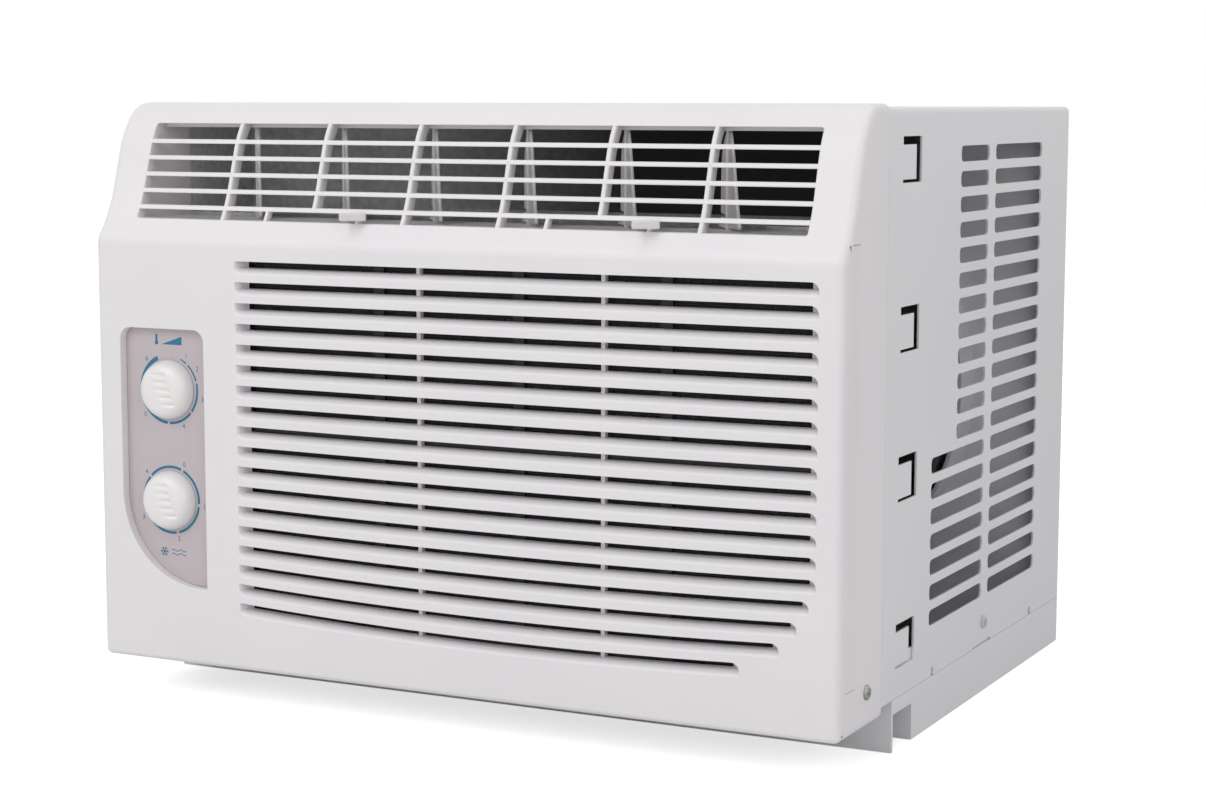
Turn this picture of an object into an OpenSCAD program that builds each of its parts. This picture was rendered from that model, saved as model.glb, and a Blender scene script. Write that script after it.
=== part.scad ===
// Window air conditioner with a mechanical thermostat and a rotary mode switch.
// X runs to the right as seen from the front, Y to the rear, Z up. The origin is the
// middle of the footprint, on the surface that the base pan stands on.

/* [Overall] */
// Width of the cabinet and of the front panel
body_w = 406; // [402:1:430]
// Height of the front panel's top above the standing surface
body_h = 303; // [300:1:330]
// Depth from the front panel's face to the rear edge of the cabinet
body_d = 342; // [341:1:370]

/* [Front panel] */
// Depth of the panel's side walls
front_d = 53.5; // [53.2:0.1:56]
// Height of the panel's lower edge above the standing surface
front_lift = 19.7; // [18:0.1:21]
// Thickness of the moulded walls
wall = 2.5; // [2:0.1:3]
// Radius of the two upright front corners
corner_r = 6.5; // [5:0.5:6.5]
// Slope of the discharge face where it leaves the lower face
hip_angle = 50; // [45:1:55]
// Slope of the middle of the discharge face
face_angle = 73; // [71:1:74]
// Radius of the hollow bend above the lower face
hip_r = 76; // [70:1:78]
// Length of the straight middle of the discharge face
face_run = 17.7; // [16.5:0.1:18.5]
// Radius of the round bend into the top
brow_r = 34; // [32:0.5:34]

/* [Discharge grille] */
// Width of the discharge opening
dis_w = 364; // [350:1:368]
// Height of the discharge opening
dis_h = 46; // [45:0.5:46.5]
// Distance from the panel's top down to the opening
dis_drop = 12; // [11.5:0.5:13]
// Number of level bars across the opening
bar_n = 5; // [4:1:6]
// Spacing of the level bars
bar_pitch = 8.2; // [8:0.1:8.3]
// Height of one bar
bar_t = 2.2; // [1.6:0.1:2.6]
// Depth of one bar behind the face
bar_d = 4; // [3:0.5:4.5]
// Spacing of the upright ribs and of the vanes behind them
rib_pitch = 52; // [50:0.5:53]
// Thickness of one rib
rib_t = 2.4; // [2:0.1:3]
// Depth of one rib behind the face
rib_d = 6; // [4:0.5:6.5]

/* [Air vanes] */
// Depth of the vane pivots behind the lower face
vane_y = 40; // [39:0.5:40.5]
// Angle that the vanes turn to each side of straight ahead
vane_swing = 36.5; // [30:0.5:36.5]
// Thickness of a vane blade
vane_t = 1.6; // [1.2:0.1:2]
// Radius of a vane pivot pin
pin_r = 1.5; // [1.2:0.1:1.8]
// Radial clearance of a turning pin in its hole
pin_fit = 0.06; // [0.03:0.01:0.1]
// Distance from the pivot to the middle of the finger tab
lever_l = 46; // [45.5:0.5:46.5]
// Distance from the pivot back to the tie bar's pin
crank_l = 11; // [10.5:0.5:12]

/* [Intake grille] */
// Number of intake slots
slot_n = 18; // [14:1:18]
// Distance from the panel's top down to the first slot's upper edge
slot_drop = 77.6; // [76.4:0.2:78.2]
// Spacing of the slots
slot_pitch = 10.31; // [9.8:0.01:10.35]
// Open height of one slot
slot_h = 3; // [2.5:0.1:4]
// Left end of the slots, from the middle of the unit
slot_left = -116; // [-118:1:-112]
// Right end of the slots, from the middle of the unit
slot_right = 191; // [180:1:192]
// Radius of the grille's lower right corner
slot_corner_r = 50; // [40:1:55]
// Depth of the slats between the slots
slat_d = 8; // [6:0.5:8]
// Rise of the lowest slot's ends over its middle
slot_sag = 4.4; // [3:0.2:4.8]

/* [Controls] */
// Left edge of the control recess
recess_x = -188.5; // [-189:0.5:-187]
// Width of the control recess
recess_w = 51; // [50.5:0.5:52]
// Radius of the recess's lower left corner
recess_curve = 47; // [40:1:47]
// Lower edge of the control recess
recess_z = 59; // [58:1:61]
// Height of the control recess
recess_h = 131; // [129:1:133]
// Radius of the two upper corners of the recess
recess_r = 6; // [4:0.5:8]
// Depth of the fascia's face behind the lower face
fascia_sink = 5; // [4:0.5:5]
// Thickness of the fascia plate
fascia_t = 2; // [1.5:0.1:2.5]
// Distance of the dial axes from the middle of the unit
dial_x = -162; // [-163:0.5:-161]
// Height of the temperature dial
temp_z = 159; // [156:1:160]
// Height of the mode dial
mode_z = 102.5; // [100:0.5:107]
// Radius of a knob
knob_r = 15; // [13:0.5:16]
// Height of a knob above the fascia
knob_h = 9; // [9:0.5:12]
// Radius of a dial shaft
dial_shaft_r = 3; // [2.5:0.1:3.5]

/* [Air filter] */
// Thickness of the filter frame
filter_t = 5; // [4:0.5:5]
// Left end of the filter
filter_left = -120; // [-122:1:-119]
// Depth of the filter's end bar, which shows in the side wall
filter_grip_d = 11.4; // [9:0.2:11.4]
// Height of the filter's lower edge
filter_z = 41.6; // [40.8:0.2:43.8]

/* [Base pan and cabinet] */
// Set-back of the base pan behind the lower face of the panel
pan_front = 68; // [66:1:70]
// Height of the base pan's outer wall
pan_h = 25; // [24:0.5:26]
// Thickness of the base pan's sheet
pan_t = 1.2; // [1:0.1:1.5]
// Height of the inner flange that the cabinet is screwed to
pan_flange_h = 45; // [43:1:49]
// Depth of the raised front step
step_d = 29; // [28:1:31]
// Height of the space under the front step
step_h = 18; // [16:0.5:18]
// Thickness of the cabinet's sheet
cab_t = 1; // [0.8:0.1:1.2]
// Distance from the panel's top down to the cabinet's top
cab_drop = 1.6; // [1.4:0.1:2]
// Width of the rear edge that is folded in
rear_fold = 12; // [8:1:14]
// Gap between parts that sit against each other
seat = 0.2; // [0.15:0.05:0.3]

/* [Side vents] */
// Number of vent rows
vent_n = 19; // [12:1:19]
// Spacing of the vent rows
vent_pitch = 12.45; // [11.5:0.05:12.5]
// Height of one vent
vent_h = 7.8; // [6:0.2:8.4]
// Distance from the panel's top down to the first vent
vent_drop = 20.4; // [19.6:0.2:22.8]
// Start of the rear column behind the lower face
vent_rear = 211; // [208:1:214]
// Length of the rear column's vents
vent_rear_w = 81; // [60:1:84]
// Start of the front column's short vents
vent_mid = 156; // [150:1:160]
// Length of the front column's short vents
vent_mid_w = 44.5; // [30:0.5:46]
// Start of the front column's long vents
vent_long = 119; // [118:1:125]
// Number of the last rows that have long vents
vent_long_n = 7; // [0:1:10]
// Corner radius of a vent
vent_r = 2.8; // [1:0.2:3]

/* [Screws] */
// Radius of the sheet-metal screws
screw_r = 1.9; // [1.5:0.1:2.1]
// Radius of the screw heads
head_r = 3.6; // [3:0.1:4.2]
// Height of the screw heads
head_h = 1.8; // [1.2:0.1:2.4]
// Spacing of the screw holes along the cabinet's top
rail_pitch = 90; // [70:1:110]
// Number of screw holes along the cabinet's top
rail_n = 4; // [2:1:4]
// Radius of those holes
rail_hole_r = 2.1; // [1.8:0.1:2.5]

/* [Blower and fan] */
// Distance of the motor shaft from the middle of the unit
shaft_x = 37; // [34:1:38]
// Height of the motor shaft
shaft_z = 148; // [146:1:150]
// Radius of the motor shaft
shaft_r = 4; // [3.5:0.1:5]
// Radius of the blower wheel
wheel_r = 75; // [70:1:76]
// Length of the blower wheel
wheel_d = 46; // [40:1:47]
// Number of blades on the blower wheel
wheel_blades = 36; // [24:1:40]
// Smallest gap between wheel and scroll
scroll_gap = 7; // [6:0.5:8]
// Growth of that gap round the scroll
scroll_grow = 26; // [20:1:28]
// Wall of the scroll housing
scroll_t = 3; // [2.5:0.1:3.5]
// Radius of the motor
motor_r = 42; // [38:1:43]
// Length of the motor
motor_l = 62; // [55:1:64]
// Radius of the condenser fan with its slinger ring
fan_r = 122; // [112:1:122]
// Number of fan blades
fan_blades = 5; // [3:1:7]
// Gap between the slinger ring and the shroud
fan_gap = 4; // [3:0.5:5]

/* [Coils] */
// Width of the evaporator's fin pack
evap_w = 286; // [270:1:288]
// Height of the evaporator's fin pack
evap_h = 196; // [184:1:200]
// Number of tube rows of the evaporator
evap_rows = 8; // [8:2:8]
// Width of the condenser's fin pack
cond_w = 356; // [340:1:358]
// Height of the condenser's fin pack
cond_h = 288; // [276:1:289]
// Number of tube rows of the condenser
cond_rows = 12; // [12:2:12]
// Depth of both fin packs
coil_d = 25.4; // [22:0.2:26]
// Outer radius of the coil tubes
tube_r = 3.5; // [3:0.1:4]
// Radial gap of a tube in its fins
tube_fit = 0.05; // [0.02:0.01:0.1]

/* [Compressor] */
// Distance of the compressor's axis from the middle of the unit
comp_x = -143; // [-145:1:-142]
// Distance of that axis behind the lower face
comp_y = 228; // [226:1:232]
// Radius of the compressor's shell
comp_r = 49; // [44:1:50]
// Height of the shell with its domed ends
comp_h = 178; // [160:1:190]
// Radius of the circle of the three feet
feet_r = 56; // [54:1:57]
// Radius of the accumulator
acc_r = 20; // [17:0.5:22]
// Height of the accumulator
acc_h = 112; // [100:1:114]
// Height of the accumulator's strap above the compressor's lower end
strap_h = 60; // [50:1:70]

/* [Capacitor] */
// Radius of the run capacitor
capacitor_r = 19; // [17:0.5:19]
// Height of the run capacitor's can
capacitor_h = 62; // [50:1:64]
// Height of the capacitor's lower end above the standing surface
capacitor_z = 120; // [116:1:124]
// Height of the clamp's band
clamp_h = 14; // [10:1:16]

/* [Hidden] */
$fn = 48;
eps = 0.01;

// The knobs stand proud of the lower face, so the footprint's middle lies behind its own.
knob_proud = knob_h - fascia_sink;
fascia_back = fascia_sink + fascia_t;
front_y = knob_proud - (body_d + knob_proud) / 2;
half_w = body_w / 2;

// Discharge face: hollow bend, straight run, round bend.
hip_z = body_h - brow_r * (1 - cos(face_angle)) - face_run * sin(face_angle)
    - hip_r * (cos(hip_angle) - cos(face_angle));
run_start = [hip_r * (sin(face_angle) - sin(hip_angle)),
    hip_z + hip_r * (cos(hip_angle) - cos(face_angle))];
brow_start = run_start + face_run * [cos(face_angle), sin(face_angle)];
dis_z = body_h - dis_drop - dis_h;
dis_top = dis_z + dis_h;
bar_low = dis_z + 5.65;
grille_sink = 0.2;
vane_xs = [for (i = [0:5]) (i - 2.5) * rib_pitch];
vane_z = dis_z + 1;
vane_top = dis_top - 1;
tab_z = dis_z + 1.4;

slot_mid = (slot_left + slot_right) / 2;
slot_top = body_h - slot_drop;
slot_low = slot_top - (slot_n - 1) * slot_pitch;

filter_y = slat_d + 1.5;
filter_top = dis_z - wall - 1.3;
filter_grip_y = filter_y + filter_t / 2 - filter_grip_d / 2 + 0.4;

cab_top = body_h - cab_drop;
cab_in = half_w - cab_t;
cab_z = pan_h + seat;
lap_out = half_w - wall - seat;
flange_x = cab_in - seat;
floor_z = pan_t;
tray_z = max(front_lift + wall, pan_h) + 0.3;
side_screw_z = 36.7;
panel_screw_y = 33.7;
cab_screw_y = 205;

scroll_y = front_d + 0.5;
inlet_t = 1.5;
wheel_y = scroll_y + inlet_t + 3;
scroll_back = wheel_y + wheel_d + 5;
bulk_y = scroll_back + scroll_t + 0.3;
bulk_t = 1;
motor_y = bulk_y + bulk_t + 6;
bracket_y = motor_y + motor_l + 0.3;
shroud_y = body_d - 42;
shroud_t = 1.5;
fan_y = shroud_y - 44;
fan_d = 34;
shaft_end = fan_y + fan_d + 14;
orifice_r = fan_r + fan_gap;

evap_y = filter_y + filter_t + 7.5;
evap_z = tray_z + 8;
evap_x = shaft_x - evap_w / 2;
cond_y = shroud_y + shroud_t + 8;
cond_z = floor_z + 6;
cond_x = -cond_w / 2 + 2;
comp_z = floor_z + 22;
grommet_h = 12;

// ---- shared shapes -------------------------------------------------------------

// Points of the discharge face in (depth, height), sunk by t behind it.
function inward(a) = [sin(a), -cos(a)];
function face_curve(t) = concat(
    [for (i = [0:8]) let(a = hip_angle + (face_angle - hip_angle) * i / 8)
        [0, hip_z] + hip_r * [sin(a) - sin(hip_angle), cos(hip_angle) - cos(a)] + t * inward(a)],
    [for (i = [0:12]) let(a = face_angle * (1 - i / 12))
        brow_start + brow_r * [sin(face_angle) - sin(a), cos(a) - cos(face_angle)] + t * inward(a)]);

// Closed side outline of the panel, sunk by t on every side but the rear.
function knee_z(t) = hip_z - t * cos(hip_angle) + t * (1 - sin(hip_angle)) * tan(hip_angle);
function panel_outline(t, back) = concat(
    [[back, front_lift + t], [t, front_lift + t], [t, knee_z(t)]],
    [for (p = face_curve(t)) if (p[0] > t && p[0] < back) p],
    [[back, body_h - t]]);

function arc(c, r, a0, a1, n) =
    [for (i = [0:n]) let(a = a0 + (a1 - a0) * i / n) c + r * [cos(a), sin(a)]];

// Outline of the control recess in (x, z), grown by g.
function recess_outline(g) = concat(
    arc([recess_x + recess_curve, recess_z + recess_curve], recess_curve + g, 180, 270, 12),
    [[recess_x + recess_w + g, recess_z - g]],
    arc([recess_x + recess_w - recess_r, recess_z + recess_h - recess_r], recess_r + g, 0, 90, 5),
    arc([recess_x + recess_r, recess_z + recess_h - recess_r], recess_r + g, 90, 180, 5));

// Round-cornered rectangle from the origin.
function round_box(w, h, r) = concat(arc([w - r, h - r], r, 0, 90, 3), arc([r, h - r], r, 90, 180, 3),
    arc([r, r], r, 180, 270, 3), arc([w - r, r], r, 270, 360, 3));

// A box given by its low and high corners, with depths counted from the lower face.
module box(x0, x1, y0, y1, z0, z1) {
    translate([x0, front_y + y0, z0]) cube([x1 - x0, y1 - y0, z1 - z0]);
}

// A box and its mirror image on the other side.
module box_pair(x0, x1, y0, y1, z0, z1) {
    box(x0, x1, y0, y1, z0, z1);
    box(-x1, -x0, y0, y1, z0, z1);
}

// Extrudes a (depth, height) outline across the unit.
module across(points, x0, x1) {
    translate([x0, front_y, 0]) rotate([90, 0, 90]) linear_extrude(x1 - x0) polygon(points);
}

// Extrudes an (x, height) outline from depth y0 to depth y1.
module along(points, y0, y1) {
    translate([0, front_y + y1, 0]) rotate([90, 0, 0]) linear_extrude(y1 - y0) polygon(points);
}

// A cylinder along Y between two depths.
module rod_y(x, z, r, y0, y1) {
    translate([x, front_y + y0, z]) rotate([-90, 0, 0]) cylinder(r = r, h = y1 - y0);
}

// A cylinder along X.
module rod_x(y, z, r, x0, x1) {
    translate([x0, front_y + y, z]) rotate([0, 90, 0]) cylinder(r = r, h = x1 - x0);
}

// A bent pipe through points, with round elbows of radius b. Each elbow is a little
// slimmer than the straights and sits in their ends.
elbow_lap = 0.4;
elbow_step = 0.08;
function unit(v) = v / norm(v);
function elbow_cut(p, i, b) = let(c = unit(p[i] - p[i - 1]) * unit(p[i + 1] - p[i])) b * tan(acos(c) / 2);
module pipe(p, r, b) {
    last = len(p) - 1;
    for (i = [0:last - 1]) {
        d = unit(p[i + 1] - p[i]);
        a = i == 0 ? p[0] : p[i] + d * (elbow_cut(p, i, b) - elbow_lap);
        e = i + 1 == last ? p[last] : p[i + 1] - d * (elbow_cut(p, i + 1, b) - elbow_lap);
        translate(a) rotate([0, acos(d[2]), atan2(d[1], d[0])]) cylinder(r = r, h = norm(e - a), $fn = 24);
    }
    for (i = [1:1:last - 1]) {
        d = unit(p[i] - p[i - 1]);
        f = unit(p[i + 1] - p[i]);
        m = unit(f - (d * f) * d);
        n = cross(-m, d);
        c = p[i] - d * elbow_cut(p, i, b) + m * b;
        multmatrix([[-m[0], d[0], n[0], c[0]], [-m[1], d[1], n[1], c[1]],
            [-m[2], d[2], n[2], c[2]], [0, 0, 0, 1]])
            rotate_extrude(angle = acos(d * f)) translate([b, 0]) circle(r = r - elbow_step, $fn = 24);
    }
}

// ---- base pan and cabinet ------------------------------------------------------

module base_pan() {
    color("gainsboro") difference() {
        union() {
            box(-half_w, half_w, pan_front + step_d - pan_t, body_d, 0, pan_t);
            box(-half_w, half_w, pan_front, pan_front + step_d, step_h, step_h + pan_t);
            box(-half_w, half_w, pan_front, pan_front + pan_t, 0, pan_h);
            box(-flange_x, flange_x, pan_front, pan_front + pan_t, pan_h - 1, tray_z - seat);
            box(-half_w, half_w, pan_front + step_d - pan_t, pan_front + step_d, 0, step_h + pan_t);
            box(-half_w, half_w, body_d - pan_t, body_d, 0, pan_h);
            box_pair(half_w - pan_t, half_w, pan_front, body_d, 0, pan_h);
            box_pair(flange_x - pan_t, half_w, pan_front, body_d, pan_h - pan_t, pan_h);
            box_pair(flange_x - pan_t, flange_x, pan_front, body_d - cab_t - seat, pan_h - pan_t,
                pan_flange_h);
            // Ears that reach forward inside the panel's side walls
            box_pair(lap_out - cab_t - seat - pan_t, lap_out - cab_t - seat, 22, pan_front + 4, pan_h + 3,
                pan_flange_h);
            box_pair(lap_out - cab_t - seat - pan_t, flange_x, pan_front + 1, pan_front + 4, pan_h + 3,
                pan_flange_h);
            // Bosses that the ears' screws bite into
            for (s = [-1, 1]) rod_x(panel_screw_y, side_screw_z, screw_r + 2,
                s > 0 ? lap_out - cab_t - seat - 6 : -lap_out + cab_t + seat,
                s > 0 ? lap_out - cab_t - seat : -lap_out + cab_t + seat + 6);
            for (s = [-1, 1]) rod_x(cab_screw_y, side_screw_z, screw_r + 2,
                s > 0 ? flange_x - 6 : -flange_x, s > 0 ? flange_x : -flange_x + 6);
            // Raised pads of the compressor and of the condenser
            translate([comp_x, front_y + comp_y, 0]) for (k = [0:2]) rotate([0, 0, 30 + k * 120])
                translate([feet_r, 0, 0]) cylinder(r = 10, h = comp_z - 2 - grommet_h);
            box(cond_x - 2, cond_x + cond_w + 2, cond_y + 2, cond_y + coil_d - 2, 0, cond_z - seat);
        }
        box_pair(half_w - pan_t - 1, half_w + 1, pan_front + 2, pan_front + step_d - pan_t, -1, step_h);
        rod_x(panel_screw_y, side_screw_z, screw_r, -half_w, half_w);
        rod_x(cab_screw_y, side_screw_z, screw_r, -half_w, half_w);
        translate([comp_x, front_y + comp_y, -1]) for (k = [0:2]) rotate([0, 0, 30 + k * 120])
            translate([feet_r, 0, 0]) cylinder(r = 3, h = comp_z);
    }
}

// Section of the wrap in (x, z), with its outer face sunk by t.
function wrap_outline(out, top, t, r) = concat([[out - t, cab_z - 1 + (t > 0 ? -1 : 1)]],
    arc([out - r, top - r], r - t, 0, 90, 6), arc([-out + r, top - r], r - t, 90, 180, 6),
    [[-out + t, cab_z - 1 + (t > 0 ? -1 : 1)]]);
module wrap(out, top, y0, y1) {
    difference() {
        along(wrap_outline(out, top, 0, 3), y0, y1);
        along(wrap_outline(out, top, cab_t, 3), y0 - 1, y1 + 1);
    }
}
vent_top = body_h - vent_drop;
module vent(y, w, row) {
    translate([-half_w - 1, front_y + y, vent_top - row * vent_pitch - vent_h]) rotate([90, 0, 90])
        linear_extrude(body_w + 2) polygon(round_box(w, vent_h, vent_r));
}
lance_zs = [266.8, 188.4, 118.5, 39.2];
module cabinet() {
    tongue_top = body_h - wall - seat;
    color("whitesmoke") difference() {
        union() {
            wrap(half_w, cab_top, front_d + 0.2, body_d);
            difference() {
                wrap(lap_out, tongue_top, front_d - 12, front_d + 1.2);
                box_pair(100, half_w, front_d - 13, front_d + 0.2, 0, pan_flange_h + 4);
                box(-half_w, half_w, front_d - 13, front_d - 3, tongue_top - 7, body_h);
            }
            // Folds that join the tongue to the wrap
            box_pair(lap_out - cab_t, half_w - eps, front_d + 0.2, front_d + 1.2, pan_flange_h + 1,
                cab_top - 3);
            box(-lap_out + 3, lap_out - 3, front_d + 0.2, front_d + 1.2, tongue_top - cab_t, cab_top - eps);
            // Rear edge folded in
            difference() {
                along(wrap_outline(half_w, cab_top, 0, 3), body_d - cab_t, body_d);
                box(-half_w + rear_fold, half_w - rear_fold, body_d - cab_t - 1, body_d + 1, 0,
                    cab_top - rear_fold);
            }
        }
        for (row = [0:vent_n - 1]) {
            vent(vent_rear, vent_rear_w, row);
            if (row < vent_n - vent_long_n) vent(vent_mid, vent_mid_w, row);
            else vent(vent_long, vent_mid + vent_mid_w - vent_long, row);
        }
        // Three-sided cuts round each lanced tab
        for (z = lance_zs) {
            box(-half_w - 1, half_w + 1, 90, 95, z, z + 20.5);
            box_pair(half_w - 2, half_w + 1, 72, 95, z + 17.5, z + 20.5);
            box_pair(half_w - 2, half_w + 1, 72, 95, z, z + 1.5);
        }
        rod_x(cab_screw_y, side_screw_z, screw_r + 0.2, -half_w - 1, half_w + 1);
        for (y = [125.5, 287.3]) rod_x(y, cab_z + 2, 2.5, -half_w - 1, half_w + 1);
        for (y = [125.5, 287.3]) box(-half_w - 1, half_w + 1, y - 2.5, y + 2.5, cab_z - 2, cab_z + 2);
        box(-half_w - 1, half_w + 1, 188, 218, cab_z - 2, cab_z + 1.4);
        for (i = [0:rail_n - 1]) translate([(i - (rail_n - 1) / 2) * rail_pitch, front_y + front_d + 10,
            cab_top - 5])
            cylinder(r = rail_hole_r, h = 10);
    }
}

// ---- front panel ---------------------------------------------------------------

module plan_block(t) {
    r = corner_r - t;
    x = half_w - t - r;
    translate([0, front_y, 0]) linear_extrude(body_h + 5) polygon(concat(
        arc([-x, t + r], r, 180, 270, 5), arc([x, t + r], r, 270, 360, 5), [[x + r, 100], [-x - r, 100]]));
}
module panel_solid(t, back) {
    intersection() {
        across(panel_outline(t, back), -half_w, half_w);
        plan_block(t);
    }
}
// The layer of the panel that lies within depth d of its face, just below its surface.
module face_layer(d) {
    difference() {
        across(panel_outline(grille_sink, front_d), -half_w + 4, half_w - 4);
        across(panel_outline(d, front_d + 1), -half_w - 1, half_w + 1);
    }
}

// Slot k: its right end follows the grille's round lower corner.
function slot_z(k) = slot_top - k * slot_pitch - slot_h;
function sag(k) = slot_sag * pow(k / (slot_n - 1), 2.5);
function slot_end(k) = let(c = slot_low + slot_corner_r - slot_h, d = c - slot_z(k))
    d <= 0 ? slot_right : slot_right - slot_corner_r + sqrt(max(0, pow(slot_corner_r, 2) - pow(min(d,
        slot_corner_r * 0.98), 2)));
function slot_rise(k, x) = sag(k) * (pow((x - slot_mid) / (slot_right - slot_mid), 2) - 0.1);
module slot(k) {
    n = sag(k) < 0.05 ? 1 : 8;
    xs = [for (i = [0:n]) slot_left + (slot_end(k) - slot_left) * i / n];
    along(concat([for (x = xs) [x, slot_z(k) + slot_rise(k, x)]],
        [for (i = [n:-1:0]) [xs[i], slot_z(k) + slot_h + slot_rise(k, xs[i])]]), -1, slat_d + 1);
}

module panel_shell() {
    back = filter_y + filter_t + 3;
    difference() {
        union() {
            difference() {
                panel_solid(0, front_d);
                panel_solid(wall, front_d + 1);
            }
            // Block of the discharge duct
            intersection() {
                across(panel_outline(wall / 2, front_d - 0.5), -half_w + 1, half_w - 1);
                box(-dis_w / 2 - wall, dis_w / 2 + wall, 0, front_d, dis_z - wall, dis_top + wall);
            }
            // Slats' full depth behind the wall
            box(slot_left - 3, slot_right + 2, wall / 2, slat_d, slot_low - 9, slot_top + 4);
            // Box that holds the filter's rails
            difference() {
                box(filter_left - 3, half_w - wall / 2, wall / 2, back, filter_z - 2.8, dis_z - wall / 2);
                box(filter_left - 1, half_w, wall, back - 2.5, filter_z - 0.3, filter_top + 0.3);
                box(filter_left + 3, half_w - wall, wall, back + 1, filter_z + 4, filter_top - 4);
            }
            // Walls and ledge of the control recess
            along(recess_outline(2), wall / 2, fascia_back + 2);
        }
        box(-dis_w / 2, dis_w / 2, -1, front_d + 1, dis_z, dis_top);
        for (k = [0:slot_n - 1]) slot(k);
        // Control recess, the seat of the fascia, and the opening behind it
        along(recess_outline(0), -1, fascia_back + seat);
        along(recess_outline(-3), 0, fascia_back + 3);
        // Slot of the filter in the right side wall
        box(half_w - wall - 1, half_w + 1, filter_grip_y - 0.3, filter_grip_y + filter_grip_d + 0.3,
            filter_z - 0.3, filter_top + 0.3);
        // Pivot holes of the vanes
        for (x = vane_xs) translate([x, front_y + vane_y, dis_z - wall - 1])
            cylinder(r = pin_r + pin_fit, h = dis_h + 2 * wall + 2);
        rod_x(panel_screw_y, side_screw_z, screw_r + 0.2, -half_w - 1, half_w + 1);
        // Hole of the cord grommet
        translate([dial_x, front_y + 38, front_lift - 1]) cylinder(r = 6, h = wall + 2);
    }
}
module front_panel() {
    color("white") union() {
        panel_shell();
        intersection() {
            face_layer(bar_d);
            union() {
                for (i = [0:bar_n - 1]) box(-dis_w / 2 - 1, dis_w / 2 + 1, 0, front_d,
                    bar_low + i * bar_pitch - bar_t / 2, bar_low + i * bar_pitch + bar_t / 2);
                // Posts at both ends of each lever's slot
                for (i = [1, 4], s = [-1, 1]) translate([vane_xs[i] + s * (rib_pitch / 2 + 0.5), 0, 0])
                    box(-0.9, 0.9, 0, front_d, dis_z - 1, bar_low);
            }
        }
        // Upright ribs; those over the levers stop at the lowest bar
        intersection() {
            face_layer(rib_d);
            for (i = [0:5]) box(vane_xs[i] - rib_t / 2, vane_xs[i] + rib_t / 2, 0, front_d,
                i % 3 == 1 ? bar_low : dis_z - 1, dis_top + 1);
        }
        // Two thin ribs that tie the slats together
        for (x = [-16, 82.6]) box(x - 1, x + 1, slat_d - 2, slat_d + 1.2, slot_low - 7, slot_top + 3);
    }
}

// ---- controls ------------------------------------------------------------------

module control_fascia() {
    color("darkgray") difference() {
        along(recess_outline(-seat), fascia_sink, fascia_back);
        for (z = [temp_z, mode_z]) rod_y(dial_x, z, dial_shaft_r + 1.5, fascia_sink - 1, fascia_back + 1);
    }
}

// A knob: round base, shallow dome, grip with five scallops, blind bore from behind.
module knob(z) {
    color("white") translate([dial_x, front_y + fascia_sink, z]) rotate([90, 0, 0]) difference() {
        union() {
            translate([0, 0, 0.4]) rotate_extrude() polygon(concat([[0, 0], [knob_r - 0.6, 0], [knob_r,
                0.6]],
                [for (i = [0:6]) [knob_r * (1 - 0.09 * i * i / 12), 3 + 0.5 * i - 0.015 * i * i]], [[0,
                    knob_h - 3.4]]));
            intersection() {
                translate([-6.5, -12, 1]) cube([13, 24, knob_h - 1]);
                translate([0, 0, knob_h - 70]) sphere(r = 70, $fn = 96);
            }
        }
        for (i = [-2:2]) translate([-8, i * 4, knob_h + 0.6]) rotate([0, 90, 0]) cylinder(r = 1.6, h = 16);
        translate([0, 0, -1]) cylinder(r = dial_shaft_r + 0.05, h = knob_h - 1.5);
    }
}
module dial_shaft(z) {
    color("silver") rod_y(dial_x, z, dial_shaft_r, fascia_sink - knob_h + 3.5, 18);
}
// Front of the control box, behind the ledge that the fascia sits on, and its contents
box_y = fascia_back + 2 + seat;
box_t = 1.2;
body_y = box_y + box_t + seat;
thermostat_l = 22;
// Body of a dial's switch: case with a threaded neck and terminals.
module dial_body(z, w, l) {
    difference() {
        union() {
            box(dial_x - w / 2, dial_x + w / 2, body_y, body_y + l, z - w / 2, z + w / 2);
            rod_y(dial_x, z, dial_shaft_r + 1.2, fascia_back - 1.5, body_y + 1);
            for (i = [-1, 1], j = [-1, 1]) box(dial_x + i * w / 4 - 3, dial_x + i * w / 4 + 3,
                body_y + l - eps, body_y + l + 7, z + j * w / 4 - 0.4, z + j * w / 4 + 0.4);
        }
        rod_y(dial_x, z, dial_shaft_r + 0.05, 0, 18.5);
    }
}
module temperature_knob() { knob(temp_z); }
module mode_knob() { knob(mode_z); }
module thermostat_shaft() { dial_shaft(temp_z); }
module mode_switch_shaft() { dial_shaft(mode_z); }
module thermostat_body() { color("dimgray") dial_body(temp_z, 34, thermostat_l); }
module mode_switch_body() { color("saddlebrown") dial_body(mode_z, 36, 20); }

module control_box() {
    x0 = dial_x - 23;
    x1 = dial_x + 23;
    z0 = mode_z - 26;
    z1 = temp_z + 26;
    color("lightgray") difference() {
        box(x0, x1, box_y, box_y + 32, z0, z1);
        box(x0 + box_t, x1 - box_t, box_y + box_t, box_y + 33, z0 + box_t, z1 - box_t);
        for (z = [temp_z, mode_z]) rod_y(dial_x, z, dial_shaft_r + 1.3, box_y - 1, box_y + 2);
    }
}
module sensing_bulb() {
    y = evap_y - 3.1;
    z = evap_z + evap_h - 30;
    body_back = front_y + body_y + thermostat_l;
    color("peru") {
        rod_x(y, z, 2.8, evap_x + 12, evap_x + 90);
        pipe([[dial_x, body_back, temp_z + 10], [dial_x, body_back + 18, temp_z + 10],
            [dial_x, body_back + 18, z], [evap_x - 22, body_back + 18, z], [evap_x - 22, front_y + y, z],
            [evap_x + 13, front_y + y, z]], 1.2, 5);
        // Clips that press the bulb's holder into the fins
        for (x = [evap_x + 25, evap_x + 75]) box(x - 2, x + 2, y, evap_y - 0.1, z - 1, z + 1);
    }
}

// ---- air vanes -----------------------------------------------------------------

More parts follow.
